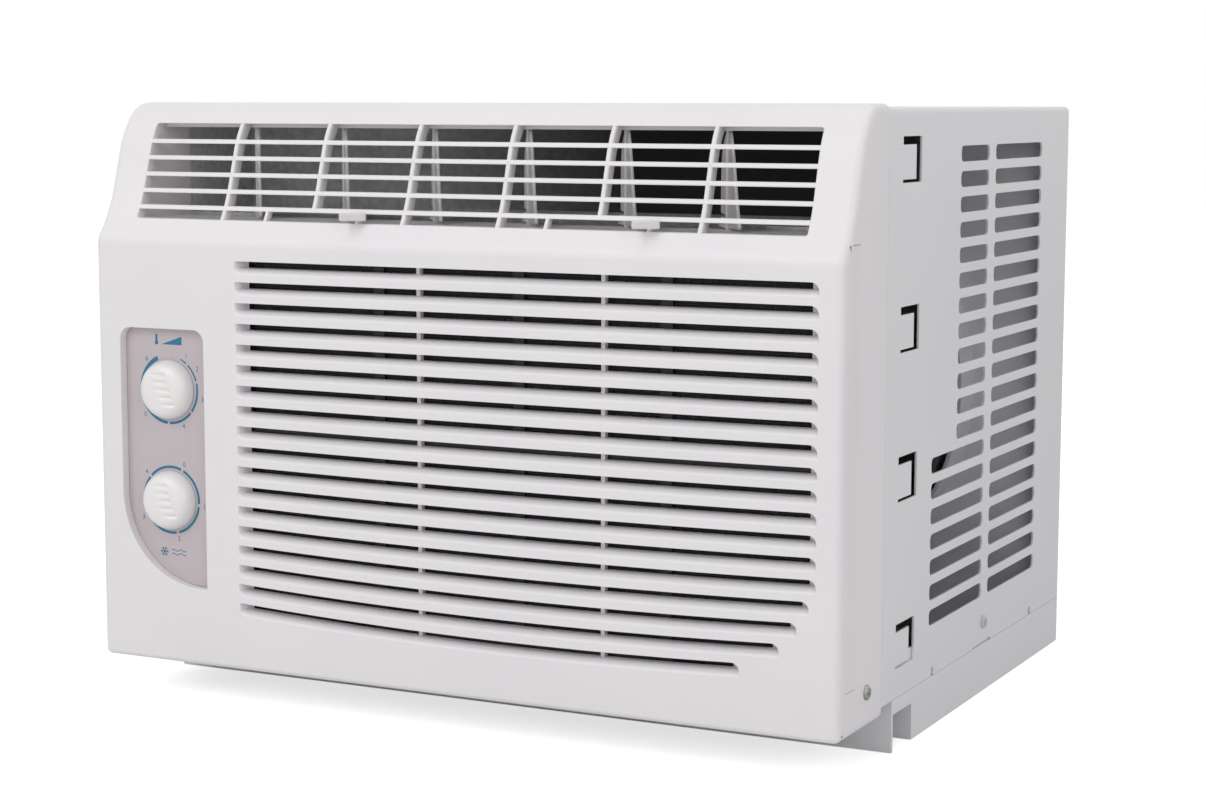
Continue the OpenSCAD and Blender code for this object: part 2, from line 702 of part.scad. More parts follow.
// Front edge of a blade, so that it stays behind the ribs when straight.
function face_depth(z) = z < run_start[1] ? (z - hip_z) * run_start[0] / (run_start[1] - hip_z)
    : run_start[0] + (z - run_start[1]) / tan(face_angle);
module vane(i, lever) {
    color("lightgray") translate([vane_xs[i], front_y + vane_y, 0]) rotate([0, 0, vane_swing]) {
        notch = vane_z + 6;
        gap = rib_d + 3.5;
        translate([-vane_t / 2, 0, 0]) rotate([90, 0, 90]) linear_extrude(vane_t) polygon([
            [face_depth(vane_z) + gap - vane_y, vane_z], [4, vane_z], [4, notch], [13, notch], [13,
                vane_top],
            [face_depth(vane_top) + gap + 3 - vane_y, vane_top],
            [face_depth(run_start[1] + 8) + gap - vane_y, run_start[1] + 8]]);
        translate([0, 0, vane_z]) cylinder(r = pin_r + 1, h = vane_top - vane_z);
        translate([0, 0, dis_z - wall + 0.3]) cylinder(r = pin_r, h = dis_h + 2 * wall - 0.6);
        // Crank with the tie bar's pin
        translate([-2, 0, vane_z]) cube([4, crank_l + 2, 1.5]);
        translate([0, crank_l, vane_z]) cylinder(r = 1.2, h = 4.6);
        if (lever) {
            translate([-1, -lever_l, tab_z]) cube([2, lever_l, 2.6]);
            translate([-6.5, -lever_l - 2.5, tab_z + 0.1]) cube([13, 4, 4]);
        }
    }
}
module vane_1() { vane(0, false); }
module vane_2() { vane(1, true); }
module vane_3() { vane(2, false); }
module vane_4() { vane(3, false); }
module vane_5() { vane(4, true); }
module vane_6() { vane(5, false); }
module tie_bar(i) {
    color("lightgray") translate([-crank_l * sin(vane_swing),
        front_y + vane_y + crank_l * cos(vane_swing), vane_z + 1.8])
        difference() {
            translate([vane_xs[i] - 4, -2.5, 0]) cube([2 * rib_pitch + 8, 5, 1.8]);
            for (k = [0:2]) translate([vane_xs[i + k], 0, -1]) cylinder(r = 1.2 + pin_fit, h = 4);
        }
}
module left_tie_bar() { tie_bar(0); }
module right_tie_bar() { tie_bar(3); }

// ---- air filter ----------------------------------------------------------------

filter_bar = 6;
module filter_frame() {
    color("whitesmoke") {
        difference() {
            box(filter_left, half_w - 2, filter_y, filter_y + filter_t, filter_z, filter_top);
            for (i = [0:3]) {
                cell = (half_w - 10 - filter_left - filter_bar) / 4;
                for (j = [0:1]) {
                    tall = (filter_top - filter_z - filter_bar) / 2;
                    box(filter_left + filter_bar + i * cell, filter_left + (i + 1) * cell,
                        filter_y - 1, filter_y + filter_t + 1,
                        filter_z + filter_bar + j * tall, filter_z + (j + 1) * tall);
                }
            }
            box(filter_left + 3, half_w - 13, filter_y + 2, filter_y + 3, filter_z + 3, filter_top - 3);
        }
        box(half_w - wall - 0.3, half_w, filter_grip_y, filter_grip_y + filter_grip_d, filter_z,
            filter_top);
    }
}
module filter_mesh() {
    color("gray") box(filter_left + 3.1, half_w - 13.1, filter_y + 2.1, filter_y + 2.9, filter_z + 3.1,
        filter_top - 3.1);
}

// ---- coils ---------------------------------------------------------------------

module coil_tube_cuts(x0, w, y0, z0, h, rows) {
    for (i = [0:rows - 1], s = [0.25, 0.75]) rod_x(y0 + s * coil_d, z0 + h * (i + 0.5) / rows,
        tube_r + tube_fit,
        x0 - 5, x0 + w + 5);
}
module coil_fins(x0, w, y0, z0, h, rows) {
    difference() {
        box(x0, x0 + w, y0, y0 + coil_d, z0, z0 + h);
        coil_tube_cuts(x0, w, y0, z0, h, rows);
    }
}
module coil_plates(x0, w, y0, z0, h, rows) {
    difference() {
        for (x = [x0 - 1.2, x0 + w + 0.2]) box(x, x + 1, y0 - 1, y0 + coil_d + 1, z0, z0 + h);
        coil_tube_cuts(x0, w, y0, z0, h, rows);
    }
}
module return_bend(x, y, z, r, dir) {
    translate([x, front_y + y, z]) rotate([90, 0, 0]) rotate([0, 0, dir > 0 ? -90 : 90])
        rotate_extrude(angle = 180) translate([r, 0]) circle(r = tube_r - 2 * elbow_step, $fn = 24);
}
module coil_tubes(x0, w, y0, z0, h, rows) {
    pitch = h / rows;
    for (s = [0.25, 0.75]) {
        for (i = [0:rows - 1]) rod_x(y0 + s * coil_d, z0 + pitch * (i + 0.5), tube_r, x0 - 2, x0 + w + 2);
        for (i = [0:2:rows - 2]) return_bend(x0 + w + 2 - elbow_lap, y0 + s * coil_d,
            z0 + pitch * (i + 1), pitch / 2, 1);
        for (i = [1:2:rows - 3]) return_bend(x0 - 2 + elbow_lap, y0 + s * coil_d, z0 + pitch * (i + 1),
            pitch / 2, -1);
    }
}
module evaporator_fins() { color("silver") coil_fins(evap_x, evap_w, evap_y, evap_z, evap_h, evap_rows); }
module evaporator_tubes() { color("peru") coil_tubes(evap_x, evap_w, evap_y, evap_z, evap_h, evap_rows); }
module evaporator_end_plates() { color("lightgray") coil_plates(evap_x, evap_w, evap_y, evap_z, evap_h,
    evap_rows); }
module condenser_fins() { color("silver") coil_fins(cond_x, cond_w, cond_y, cond_z, cond_h, cond_rows); }
module condenser_tubes() { color("peru") coil_tubes(cond_x, cond_w, cond_y, cond_z, cond_h, cond_rows); }
module condenser_end_plates() { color("lightgray") coil_plates(cond_x, cond_w, cond_y, cond_z, cond_h,
    cond_rows); }

module drip_tray() {
    x0 = evap_x - 17;
    x1 = evap_x + evap_w + 12;
    color("ivory") difference() {
        box(x0, x1, evap_y - 3, pan_front + 4, tray_z, evap_z - seat);
        box(x0 + 3, x1 - 3, evap_y + coil_d + 3, pan_front + 1, tray_z + 2, evap_z + 1);
        box(x0 + 3, x1 - 3, evap_y + 3, evap_y + coil_d - 3, tray_z + 2, evap_z + 1);
        box(x0 + 20, x0 + 40, evap_y + 10, pan_front + 5, tray_z + 2, evap_z - 2);
    }
}

// ---- blower --------------------------------------------------------------------

// Opening scroll round the shaft in (x, z), grown by g, up to the duct's floor.
function scroll_r(a) = wheel_r + scroll_gap + scroll_grow * a / 300;
function scroll_outline(g) = [for (a = [0:15:300]) let(r = scroll_r(a) + g, d = 150 - a)
    [shaft_x + r * cos(d), shaft_z + r * sin(d)]];
duct_z = dis_z - wall;
duct_top = dis_top + wall;
neck_l = shaft_x - wheel_r - scroll_gap + 12;
neck_r = shaft_x + wheel_r + scroll_gap + 24;
module air_space(g, y0, y1) {
    along(scroll_outline(g), y0, y1);
    box(neck_l - g, neck_r + g, y0, y1, shaft_z + 30, duct_z + 8);
    box(-dis_w / 2 - g, dis_w / 2 + g, y0, y1, duct_z + 4 - g, duct_top + g);
}
module scroll_housing() {
    color("ivory") difference() {
        air_space(scroll_t, scroll_y, scroll_back + scroll_t);
        air_space(0, scroll_y - 1, scroll_back);
        rod_y(shaft_x, shaft_z, 16, scroll_back - 1, scroll_back + scroll_t + 1);
    }
}
module blower_inlet_ring() {
    inlet_r = wheel_r - 12;
    color("ivory") difference() {
        union() {
            difference() {
                along(scroll_outline(-0.3), scroll_y, scroll_y + inlet_t);
                box(-half_w, half_w, scroll_y - 1, scroll_y + inlet_t + 1, duct_z + 3, body_h);
            }
            rod_y(shaft_x, shaft_z, inlet_r + 2, scroll_y - 3, scroll_y + inlet_t);
        }
        rod_y(shaft_x, shaft_z, inlet_r, scroll_y - 4, scroll_y + inlet_t + 1);
    }
}
module blower_wheel() {
    color("darkslategray") difference() {
        union() {
            rod_y(shaft_x, shaft_z, wheel_r, wheel_y + wheel_d - 2, wheel_y + wheel_d);
            rod_y(shaft_x, shaft_z, 12, wheel_y + 14, wheel_y + wheel_d);
            difference() {
                rod_y(shaft_x, shaft_z, wheel_r, wheel_y, wheel_y + 3);
                rod_y(shaft_x, shaft_z, wheel_r - 11, wheel_y - 1, wheel_y + 4);
            }
            for (i = [0:wheel_blades - 1]) translate([shaft_x, front_y + wheel_y + 1, shaft_z])
                rotate([0, i * 360 / wheel_blades, 0]) translate([wheel_r - 6, 0, 0]) rotate([0, 35, 0])
                translate([-5.5, 0, -0.5]) cube([11, wheel_d - 2, 1]);
        }
        rod_y(shaft_x, shaft_z, shaft_r + 0.05, wheel_y - 1, wheel_y + wheel_d + 1);
    }
}
module bulkhead() {
    x = flange_x - pan_t - seat;
    color("lightgray") difference() {
        union() {
            box(-x, x, bulk_y, bulk_y + bulk_t, floor_z + seat, cab_top - cab_t - 3 - seat);
            box(-x, x, bulk_y, bulk_y + 14, floor_z + seat, floor_z + seat + bulk_t);
            box_pair(x - bulk_t, x, bulk_y, bulk_y + 12, floor_z + seat, cab_top - 30);
        }
        rod_y(shaft_x, shaft_z, 18, bulk_y - 1, bulk_y + bulk_t + 1);
        rod_y(suction_x, suction_z, 9, bulk_y - 1, bulk_y + bulk_t + 1);
        rod_y(suction_x, capillary_z, 5, bulk_y - 1, bulk_y + bulk_t + 1);
        rod_y(loom_x, loom_z, 6, bulk_y - 1, bulk_y + bulk_t + 1);
    }
}
// Places where the pipes and the wires pass the bulkhead
suction_x = -132;
suction_z = 90;
capillary_z = 66;
loom_x = -112;
loom_z = 42;
module top_seal() {
    color("dimgray") box(-dis_w / 2, dis_w / 2, scroll_y + 6, scroll_y + 26, duct_top + scroll_t + seat,
        cab_top - cab_t - seat);
}

// ---- motor and fan -------------------------------------------------------------

module fan_motor() {
    color("darkgray") difference() {
        union() {
            rod_y(shaft_x, shaft_z, motor_r, motor_y + 6, motor_y + motor_l - 6);
            translate([shaft_x, front_y + motor_y, shaft_z]) rotate([-90, 0, 0])
                cylinder(r1 = motor_r - 6, r2 = motor_r, h = 6 + eps);
            translate([shaft_x, front_y + motor_y + motor_l - 6 - eps, shaft_z]) rotate([-90, 0, 0])
                cylinder(r1 = motor_r, r2 = motor_r - 6, h = 6 + eps);
            rod_y(shaft_x, shaft_z, 14, motor_y - 5, motor_y + motor_l + 5);
            // Four lugs with studs that hold the bracket
            for (a = [45:90:315]) rod_y(shaft_x + (motor_r + 1) * cos(a),
                shaft_z + (motor_r + 1) * sin(a), 4,
                motor_y + 10, motor_y + motor_l);
        }
        rod_y(shaft_x, shaft_z, shaft_r + 0.05, motor_y - 6, motor_y + motor_l + 6);
    }
}
module motor_shaft() {
    color("silver") rod_y(shaft_x, shaft_z, shaft_r, wheel_y + 8, shaft_end);
}
module motor_bracket() {
    w = motor_r + 8;
    t = 2;
    front = bulk_y + bulk_t + seat;
    color("lightgray") difference() {
        union() {
            box(shaft_x - w, shaft_x + w, bracket_y, bracket_y + t, shaft_z - w + 6, shaft_z + w - 6);
            for (s = [-1, 1]) {
                a = shaft_x + s * w;
                box(min(a, a + s * t), max(a, a + s * t), front, bracket_y + t, shaft_z - 25, shaft_z + 25);
                box(min(a, a + s * 16), max(a, a + s * 16), front, front + t, shaft_z - 25, shaft_z + 25);
            }
        }
        rod_y(shaft_x, shaft_z, 20, bracket_y - 1, bracket_y + t + 1);
        for (s = [-1, 1], z = [-16, 16]) rod_y(shaft_x + s * (w + 10), shaft_z + z, 2.2, front - 1,
            front + t + 1);
    }
}
module condenser_fan() {
    color("dimgray") difference() {
        union() {
            rod_y(shaft_x, shaft_z, 20, fan_y, fan_y + fan_d);
            difference() {
                rod_y(shaft_x, shaft_z, fan_r, fan_y + fan_d - 12, fan_y + fan_d);
                rod_y(shaft_x, shaft_z, fan_r - 2.5, fan_y + fan_d - 13, fan_y + fan_d + 1);
            }
            for (i = [0:fan_blades - 1]) translate([shaft_x, front_y + fan_y + fan_d / 2 + 3, shaft_z])
                rotate([0, i * 360 / fan_blades, 0]) rotate([28, 0, 0]) rotate([90, 0, 0])
                translate([0, 0, -0.8]) linear_extrude(1.6)
                polygon([[17, -9], [fan_r * 0.6, -24], [fan_r - 3, -20], [fan_r - 1.2, 0], [fan_r - 3, 22],
                    [fan_r * 0.6, 18], [17, 9]]);
        }
        rod_y(shaft_x, shaft_z, shaft_r + 0.05, fan_y - 1, fan_y + fan_d + 1);
    }
}
module fan_nut() {
    color("silver") translate([shaft_x, front_y + fan_y + fan_d + 0.2, shaft_z]) rotate([-90, 0,
        0]) difference() {
        cylinder(r = 8, h = 6, $fn = 6);
        translate([0, 0, -1]) cylinder(r = shaft_r + 0.05, h = 8);
    }
}
module fan_shroud() {
    x = flange_x - pan_t - seat;
    color("lightgray") difference() {
        union() {
            box(-x, x, shroud_y, shroud_y + shroud_t, floor_z + seat, cab_top - cab_t - 3);
            rod_y(shaft_x, shaft_z, orifice_r + 2, shroud_y - 22, shroud_y + shroud_t);
            box(cond_x - 4, cond_x + cond_w + 4, shroud_y, cond_y - 1.4, cond_z + cond_h + 1,
                cond_z + cond_h + 3);
        }
        rod_y(shaft_x, shaft_z, orifice_r, shroud_y - 23, shroud_y + shroud_t + 1);
        rod_y(discharge_x, discharge_z, 5, shroud_y - 1, shroud_y + shroud_t + 1);
        rod_y(liquid_x, liquid_z, 3.7, shroud_y - 1, shroud_y + shroud_t + 1);
    }
}
// Places where the condenser's pipes pass the shroud
discharge_x = -(flange_x - pan_t - seat) + 10.4;
discharge_z = cond_z + cond_h * (cond_rows - 0.5) / cond_rows;
liquid_x = -(flange_x - pan_t - seat) + 4;
liquid_z = cond_z + cond_h * 0.5 / cond_rows;

// ---- compressor and pipes ------------------------------------------------------

module on_feet() {
    translate([comp_x, front_y + comp_y, 0]) for (k = [0:2]) rotate([0, 0, 30 + k * 120])
        translate([feet_r, 0, 0]) children();
}
foot_z = comp_z - 2;
module compressor() {
    color([0.1, 0.1, 0.11]) union() {
        translate([comp_x, front_y + comp_y, comp_z]) rotate_extrude() polygon(concat([[0, 0]],
            arc([comp_r - 14, 14], 14, -90, 0, 4), [[comp_r, comp_h - 22]],
            arc([comp_r - 20, comp_h - 20], 20, 0, 75, 5), [[0, comp_h]]));
        difference() {
            translate([comp_x, front_y + comp_y, foot_z]) for (k = [0:2]) rotate([0, 0, 30 + k * 120])
                union() {
                    translate([26, -8, 0]) cube([feet_r - 26, 16, 2.4]);
                    translate([feet_r, 0, 0]) cylinder(r = 9, h = 2.4);
                }
            translate([0, 0, foot_z - 1]) on_feet() cylinder(r = 5.05, h = 5);
        }
        // Strap that holds the accumulator
        translate([comp_x, front_y + comp_y, comp_z + strap_h]) rotate([0, 0, acc_angle])
            translate([comp_r - 3, -6, 0]) cube([acc_off - comp_r - acc_r + 3 - seat, 12, 3]);
    }
}
acc_angle = -66;
acc_off = comp_r + acc_r + 8;
acc_x = comp_x + acc_off * cos(acc_angle);
acc_y = comp_y + acc_off * sin(acc_angle);
acc_z = comp_z + 14;
module accumulator() {
    color([0.12, 0.12, 0.13]) translate([acc_x, front_y + acc_y,
        acc_z]) rotate_extrude() polygon(concat([[0, 0]],
        arc([acc_r - 8, 8], 8, -90, 0, 4), arc([acc_r - 8, acc_h - 10], 8, 0, 80, 4), [[0, acc_h]]));
}
module compressor_grommets() {
    color([0.08, 0.08, 0.08]) translate([0, 0, foot_z - grommet_h]) on_feet() difference() {
        union() {
            cylinder(r = 8, h = grommet_h - seat);
            cylinder(r = 4.95, h = grommet_h + 2.8);
            translate([0, 0, grommet_h + 2.4 + seat]) cylinder(r = 7, h = 3);
        }
        translate([0, 0, -1]) cylinder(r = 3.1, h = grommet_h + 10);
    }
}
module compressor_studs() {
    color("silver") on_feet() union() {
        translate([0, 0, seat]) cylinder(r = 2.95, h = foot_z + 12);
        translate([0, 0, foot_z + 6.1]) cylinder(r = 7.5, h = 1.2);
        translate([0, 0, foot_z + 7.2]) cylinder(r = 5.5, h = 4, $fn = 6);
    }
}
comp_top = comp_z + comp_h;
module terminal_cover() {
    color([0.1, 0.1, 0.1]) translate([comp_x - 8, front_y + comp_y, comp_top + 0.3]) difference() {
        cylinder(r = 20, h = 22);
        translate([0, 0, -1]) cylinder(r = 18, h = 21);
    }
}
out_x = comp_x + 22;
module discharge_pipe() {
    far = front_y + cond_y + 0.75 * coil_d;
    turn = front_y + shroud_y - 12;
    color("peru") pipe([[out_x, front_y + comp_y + 8, comp_top - seat], [out_x, front_y + comp_y + 8,
        comp_top + 40],
        [out_x, turn, comp_top + 40], [discharge_x, turn, comp_top + 40], [discharge_x, turn, discharge_z],
        [discharge_x, far, discharge_z], [cond_x - 2.2, far, discharge_z]], 3.2, 5);
}
module suction_pipe() {
    near = front_y + evap_y + 0.75 * coil_d;
    z_in = evap_z + evap_h * 0.5 / evap_rows;
    color("peru") pipe([[evap_x - 2.2, near, z_in], [suction_x, near, z_in], [suction_x, near + 28, z_in],
        [suction_x, near + 28, suction_z], [suction_x, front_y + acc_y - 26, suction_z],
        [suction_x, front_y + acc_y - 26, acc_z + acc_h + 20],
        [acc_x, front_y + acc_y, acc_z + acc_h + 20],
        [acc_x, front_y + acc_y, acc_z + acc_h + seat]], 4, 7);
}
drier_x = cond_x + 4;
drier_y = 150;
drier_z = 20;
module liquid_pipe() {
    near = front_y + cond_y + 0.25 * coil_d;
    turn = front_y + shroud_y - 12;
    past = front_y + drier_y + 20;
    color("peru") pipe([[cond_x - 2.2, near, liquid_z], [liquid_x, near, liquid_z], [liquid_x, turn,
        liquid_z],
        [liquid_x, turn, 60], [liquid_x, past, 60], [drier_x, past, 60], [drier_x, past, 112],
        [drier_x, front_y + drier_y, 112], [drier_x, front_y + drier_y, drier_z + 80.2]], 3.2, 5);
}
module filter_drier() {
    color("peru") translate([drier_x, front_y + drier_y, drier_z]) union() {
        translate([0, 0, 14]) cylinder(r = 9, h = 52);
        cylinder(r1 = 2.5, r2 = 9, h = 14 + eps);
        translate([0, 0, 66 - eps]) cylinder(r1 = 9, r2 = 4, h = 14);
    }
}
module capillary_tube() {
    near = front_y + evap_y + 0.25 * coil_d;
    z_in = evap_z + evap_h * (evap_rows - 0.5) / evap_rows;
    behind = front_y + bulk_y + 20;
    before = front_y + bulk_y - 12;
    low = 12;
    color("peru") pipe([[drier_x, front_y + drier_y, drier_z - seat], [drier_x, front_y + drier_y, low],
        [drier_x, behind, low], [suction_x, behind, low], [suction_x, behind, capillary_z],
        [suction_x, before, capillary_z], [suction_x - 8, before, capillary_z], [suction_x - 8, before,
            z_in],
        [suction_x - 8, near, z_in], [evap_x - 2.2, near, z_in]], 1.5, 4);
}

// ---- electrical parts and fasteners --------------------------------------------

cap_x = dial_x - 4;
cap_y = bulk_y - capacitor_r - 5;
clamp_z = capacitor_z + 20;
module run_capacitor() {
    color("silver") translate([cap_x, front_y + cap_y, capacitor_z]) union() {
        cylinder(r = capacitor_r, h = capacitor_h);
        for (s = [-1, 1]) translate([s * 8 - 3, -0.4, capacitor_h - eps]) cube([6, 0.8, 8]);
    }
}
module capacitor_clamp() {
    color("lightgray") difference() {
        union() {
            translate([cap_x, front_y + cap_y, clamp_z]) cylinder(r = capacitor_r + seat + 1.2, h = clamp_h);
            box(cap_x - 26, cap_x + 26, bulk_y - 1.2, bulk_y - seat, clamp_z, clamp_z + clamp_h);
            box(cap_x - 4, cap_x + 4, cap_y + capacitor_r + 0.5, bulk_y - 0.5, clamp_z, clamp_z + clamp_h);
        }
        translate([cap_x, front_y + cap_y, clamp_z - 1]) cylinder(r = capacitor_r + seat, h = clamp_h + 2);
    }
}
module wiring_loom() {
    y0 = front_y + box_y + 28;
    y1 = front_y + motor_y + 10;
    color([0.15, 0.15, 0.17]) pipe([[dial_x + 8, y0, mode_z - 18], [dial_x + 8, y0 + 46, mode_z - 18],
        [dial_x + 8, y0 + 46, loom_z], [loom_x, y0 + 46, loom_z], [loom_x, y1, loom_z], [shaft_x - 30, y1,
            loom_z],
        [shaft_x - 10, y1, shaft_z - motor_r + 0.5]], 3, 6);
}
module side_screw(y, z, out, reach) {
    for (s = [-1, 1]) translate([s * (out + 0.1), front_y + y, z]) rotate([0, s * 90, 0]) union() {
        cylinder(r = head_r, h = head_h);
        translate([0, 0, -reach]) cylinder(r = screw_r - 0.05, h = reach + eps);
    }
}
module panel_screws() { color("silver") side_screw(panel_screw_y, side_screw_z, half_w, 9); }
module cabinet_screws() { color("silver") side_screw(cab_screw_y, side_screw_z, half_w, 6); }
module cord_grommet() {
    color([0.1, 0.1, 0.1]) translate([dial_x, front_y + 38, front_lift]) difference() {
        union() {
            translate([0, 0, -1.7]) cylinder(r = 8.5, h = 1.5);
            translate([0, 0, -1]) cylinder(r = 5.9, h = wall + 2);
            translate([0, 0, wall + 0.2]) cylinder(r = 8.5, h = 1.5);
        }
        translate([0, 0, -3]) cylinder(r = 3.8, h = wall + 8);
    }
}

base_pan();
cabinet();
front_panel();
control_fascia();
temperature_knob();
thermostat_shaft();
thermostat_body();
sensing_bulb();
mode_knob();
mode_switch_shaft();
mode_switch_body();
control_box();
vane_1();
vane_2();
vane_3();
vane_4();
vane_5();
vane_6();
left_tie_bar();
right_tie_bar();
filter_frame();
filter_mesh();
evaporator_fins();
evaporator_tubes();
evaporator_end_plates();
drip_tray();
blower_inlet_ring();
scroll_housing();
blower_wheel();
bulkhead();
fan_motor();
motor_shaft();
motor_bracket();
condenser_fan();
fan_nut();
fan_shroud();
condenser_fins();
condenser_tubes();
condenser_end_plates();
compressor();
accumulator();
compressor_grommets();
compressor_studs();
terminal_cover();
discharge_pipe();
suction_pipe();
liquid_pipe();
filter_drier();
capillary_tube();
run_capacitor();
capacitor_clamp();
wiring_loom();
top_seal();
panel_screws();
cabinet_screws();
cord_grommet();
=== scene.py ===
"""A mechanical window air conditioner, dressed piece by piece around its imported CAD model."""
import math

import bmesh
import bpy
import numpy as np
from mathutils import Matrix, Vector, geometry


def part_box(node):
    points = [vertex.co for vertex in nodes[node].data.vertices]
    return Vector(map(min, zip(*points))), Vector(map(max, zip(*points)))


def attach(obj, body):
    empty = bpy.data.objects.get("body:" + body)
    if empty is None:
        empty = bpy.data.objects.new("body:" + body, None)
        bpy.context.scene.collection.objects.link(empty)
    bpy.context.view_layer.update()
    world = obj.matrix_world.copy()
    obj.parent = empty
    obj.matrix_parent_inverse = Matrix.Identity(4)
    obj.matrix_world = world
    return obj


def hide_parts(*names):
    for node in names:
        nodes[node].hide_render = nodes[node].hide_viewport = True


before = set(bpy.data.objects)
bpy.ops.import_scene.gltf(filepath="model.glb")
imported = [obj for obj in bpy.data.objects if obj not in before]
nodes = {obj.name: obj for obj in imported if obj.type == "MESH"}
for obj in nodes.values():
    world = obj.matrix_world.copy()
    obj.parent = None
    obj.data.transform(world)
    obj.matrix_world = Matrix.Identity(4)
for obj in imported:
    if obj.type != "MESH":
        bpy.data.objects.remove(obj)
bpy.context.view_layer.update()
MM = 0.001


# ---- studio: camera, lamps, floor -------------------------------------------------
# A small product studio: a large soft lamp to the left of the front, a weaker one on the right and
# one overhead, an even pale room, and a white sweep that stays white behind the object.

def srgb(hex_colour):
    """Linear colour of an sRGB hex value: v/12.92 below 0.04045, ((v+0.055)/1.055)^2.4 above."""
    v = np.array([int(hex_colour[i:i + 2], 16) / 255 for i in (1, 3, 5)])
    return (*np.where(v <= 0.04045, v / 12.92, ((v + 0.055) / 1.055) ** 2.4), 1.0)


def add(tree, kind, inputs=None, **settings):
    """Adds one node; inputs maps a socket to a value or to the output socket that feeds it."""
    node = tree.nodes.new(kind)
    for name, value in settings.items():
        setattr(node, name, value)
    for key, value in (inputs or {}).items():
        if isinstance(value, bpy.types.NodeSocket):
            tree.links.new(value, node.inputs[key])
        else:
            node.inputs[key].default_value = value
    return node


camera_place = (0.5815, -1.1587, 0.3029)
camera_yaw, camera_tilt, camera_roll = 26.615, 6.926, 0.092
camera_data = bpy.data.cameras.new("studio_camera")
camera_data.sensor_fit, camera_data.sensor_width, camera_data.lens = "HORIZONTAL", 36.0, 72.69
camera = bpy.data.objects.new("studio_camera", camera_data)
camera.matrix_world = (Matrix.Translation(camera_place) @ Matrix.Rotation(math.radians(camera_yaw), 4, "Z")
                       @ Matrix.Rotation(math.radians(90 - camera_tilt), 4, "X")
                       @ Matrix.Rotation(math.radians(camera_roll), 4, "Z"))
bpy.context.scene.collection.objects.link(camera)
bpy.context.scene.camera = camera
bpy.context.scene.view_settings.view_transform = "Standard"


def lamp(name, place, aim, size, power):
    """A square area lamp at place, turned so that its -Z axis points at aim."""
    data = bpy.data.lights.new(name, "AREA")
    data.size, data.energy = size, power
    obj = bpy.data.objects.new(name, data)
    turn = (Vector(aim) - Vector(place)).to_track_quat("-Z", "Y").to_matrix().to_4x4()
    obj.matrix_world = Matrix.Translation(place) @ turn
    bpy.context.scene.collection.objects.link(obj)


lamp("front_lamp", (-0.8, -2.0, 1.6), (0, 0, 0.15), 1.6, 19.5)
lamp("right_lamp", (1.9, -1.5, 1.2), (0, 0, 0.15), 1.2, 8)
lamp("top_lamp", (0.2, 0.2, 2.4), (0, 0, 0.3), 1.4, 9)

world = bpy.data.worlds.new("pale_room")
world.use_nodes = True
bpy.context.scene.world = world
tree = world.node_tree
tree.nodes.clear()
rays = add(tree, "ShaderNodeLightPath")
seen = rays.outputs["Is Camera Ray"]
for ray in ("Is Glossy Ray", "Is Transmission Ray"):
    seen = add(tree, "ShaderNodeMath", {0: seen, 1: rays.outputs[ray]}, operation="MAXIMUM").outputs[0]
room = add(tree, "ShaderNodeBackground", {"Color": srgb("#ffffff"), "Strength": 0.5})
white = add(tree, "ShaderNodeBackground", {"Color": srgb("#ffffff"), "Strength": 1.0})
both = add(tree, "ShaderNodeMixShader", {0: seen, 1: room.outputs[0], 2: white.outputs[0]})
add(tree, "ShaderNodeOutputWorld", {"Surface": both.outputs[0]})

floor_half, floor_z = 6.0, -0.0002
corners = ((-1, -1), (1, -1), (1, 1), (-1, 1))
floor_mesh = bpy.data.meshes.new("floor")
floor_mesh.from_pydata([(x * floor_half, y * floor_half, floor_z) for x, y in corners], [], [(0, 1, 2, 3)])
floor = bpy.data.objects.new("floor", floor_mesh)
bpy.context.scene.collection.objects.link(floor)
floor_paper = bpy.data.materials.new("white_paper_sweep")
floor_paper.use_nodes = True
tree = floor_paper.node_tree
tree.nodes.clear()
rays = add(tree, "ShaderNodeLightPath")
paper = add(tree, "ShaderNodeBsdfDiffuse", {"Color": srgb("#f2f2f2")})
glow = add(tree, "ShaderNodeEmission", {"Color": srgb("#ffffff"), "Strength": 0.62})
bright = add(tree, "ShaderNodeAddShader", {0: paper.outputs[0], 1: glow.outputs[0]})
mixed = add(tree, "ShaderNodeMixShader", {0: rays.outputs["Is Camera Ray"], 1: paper.outputs[0],
                                          2: bright.outputs[0]})
add(tree, "ShaderNodeOutputMaterial", {"Surface": mixed.outputs[0]})
floor_mesh.materials.append(floor_paper)


# ---- front panel moulding ----------------------------------------------------------
# One injection moulding in white ABS, about 2.5 mm thick: a flat lower face with the
# intake slots and the control recess, an S-curved discharge face above it, and side walls.
# It clips and screws over the front of the cabinet. Sizes are in mm, depths from the lower face.

panel_half, panel_back, panel_foot, panel_top = 203.0, 53.5, 19.7, 303.0
front_y = -169.0
edge_r, wall_t = 4.0, 2.5
hip_z, hip_angle, face_angle, hip_r, face_run = 235.38, 50.0, 73.0, 76.0, 17.7
brow_r, crown_angle = 50.0, 50.0


def bend(p, control, q, n):
    """Quadratic Bezier from p to q: (1-t)^2 p + 2t(1-t) control + t^2 q."""
    t = np.linspace(0, 1, n)[:, None]
    return (1 - t) ** 2 * p + 2 * t * (1 - t) * control + t ** 2 * q


def heading_arc(start, radius, a0, a1, n):
    """Points of an arc in (depth, height) whose heading goes from a0 to a1 degrees above level;
    it is hollow when the heading steepens and round when it flattens."""
    a = np.radians(np.linspace(a0, a1, n))
    s = 1 if a1 > a0 else -1
    a_first = math.radians(a0)
    return np.stack([start[0] + s * radius * (np.sin(a) - math.sin(a_first)),
                     start[1] + s * radius * (math.cos(a_first) - np.cos(a))], 1)


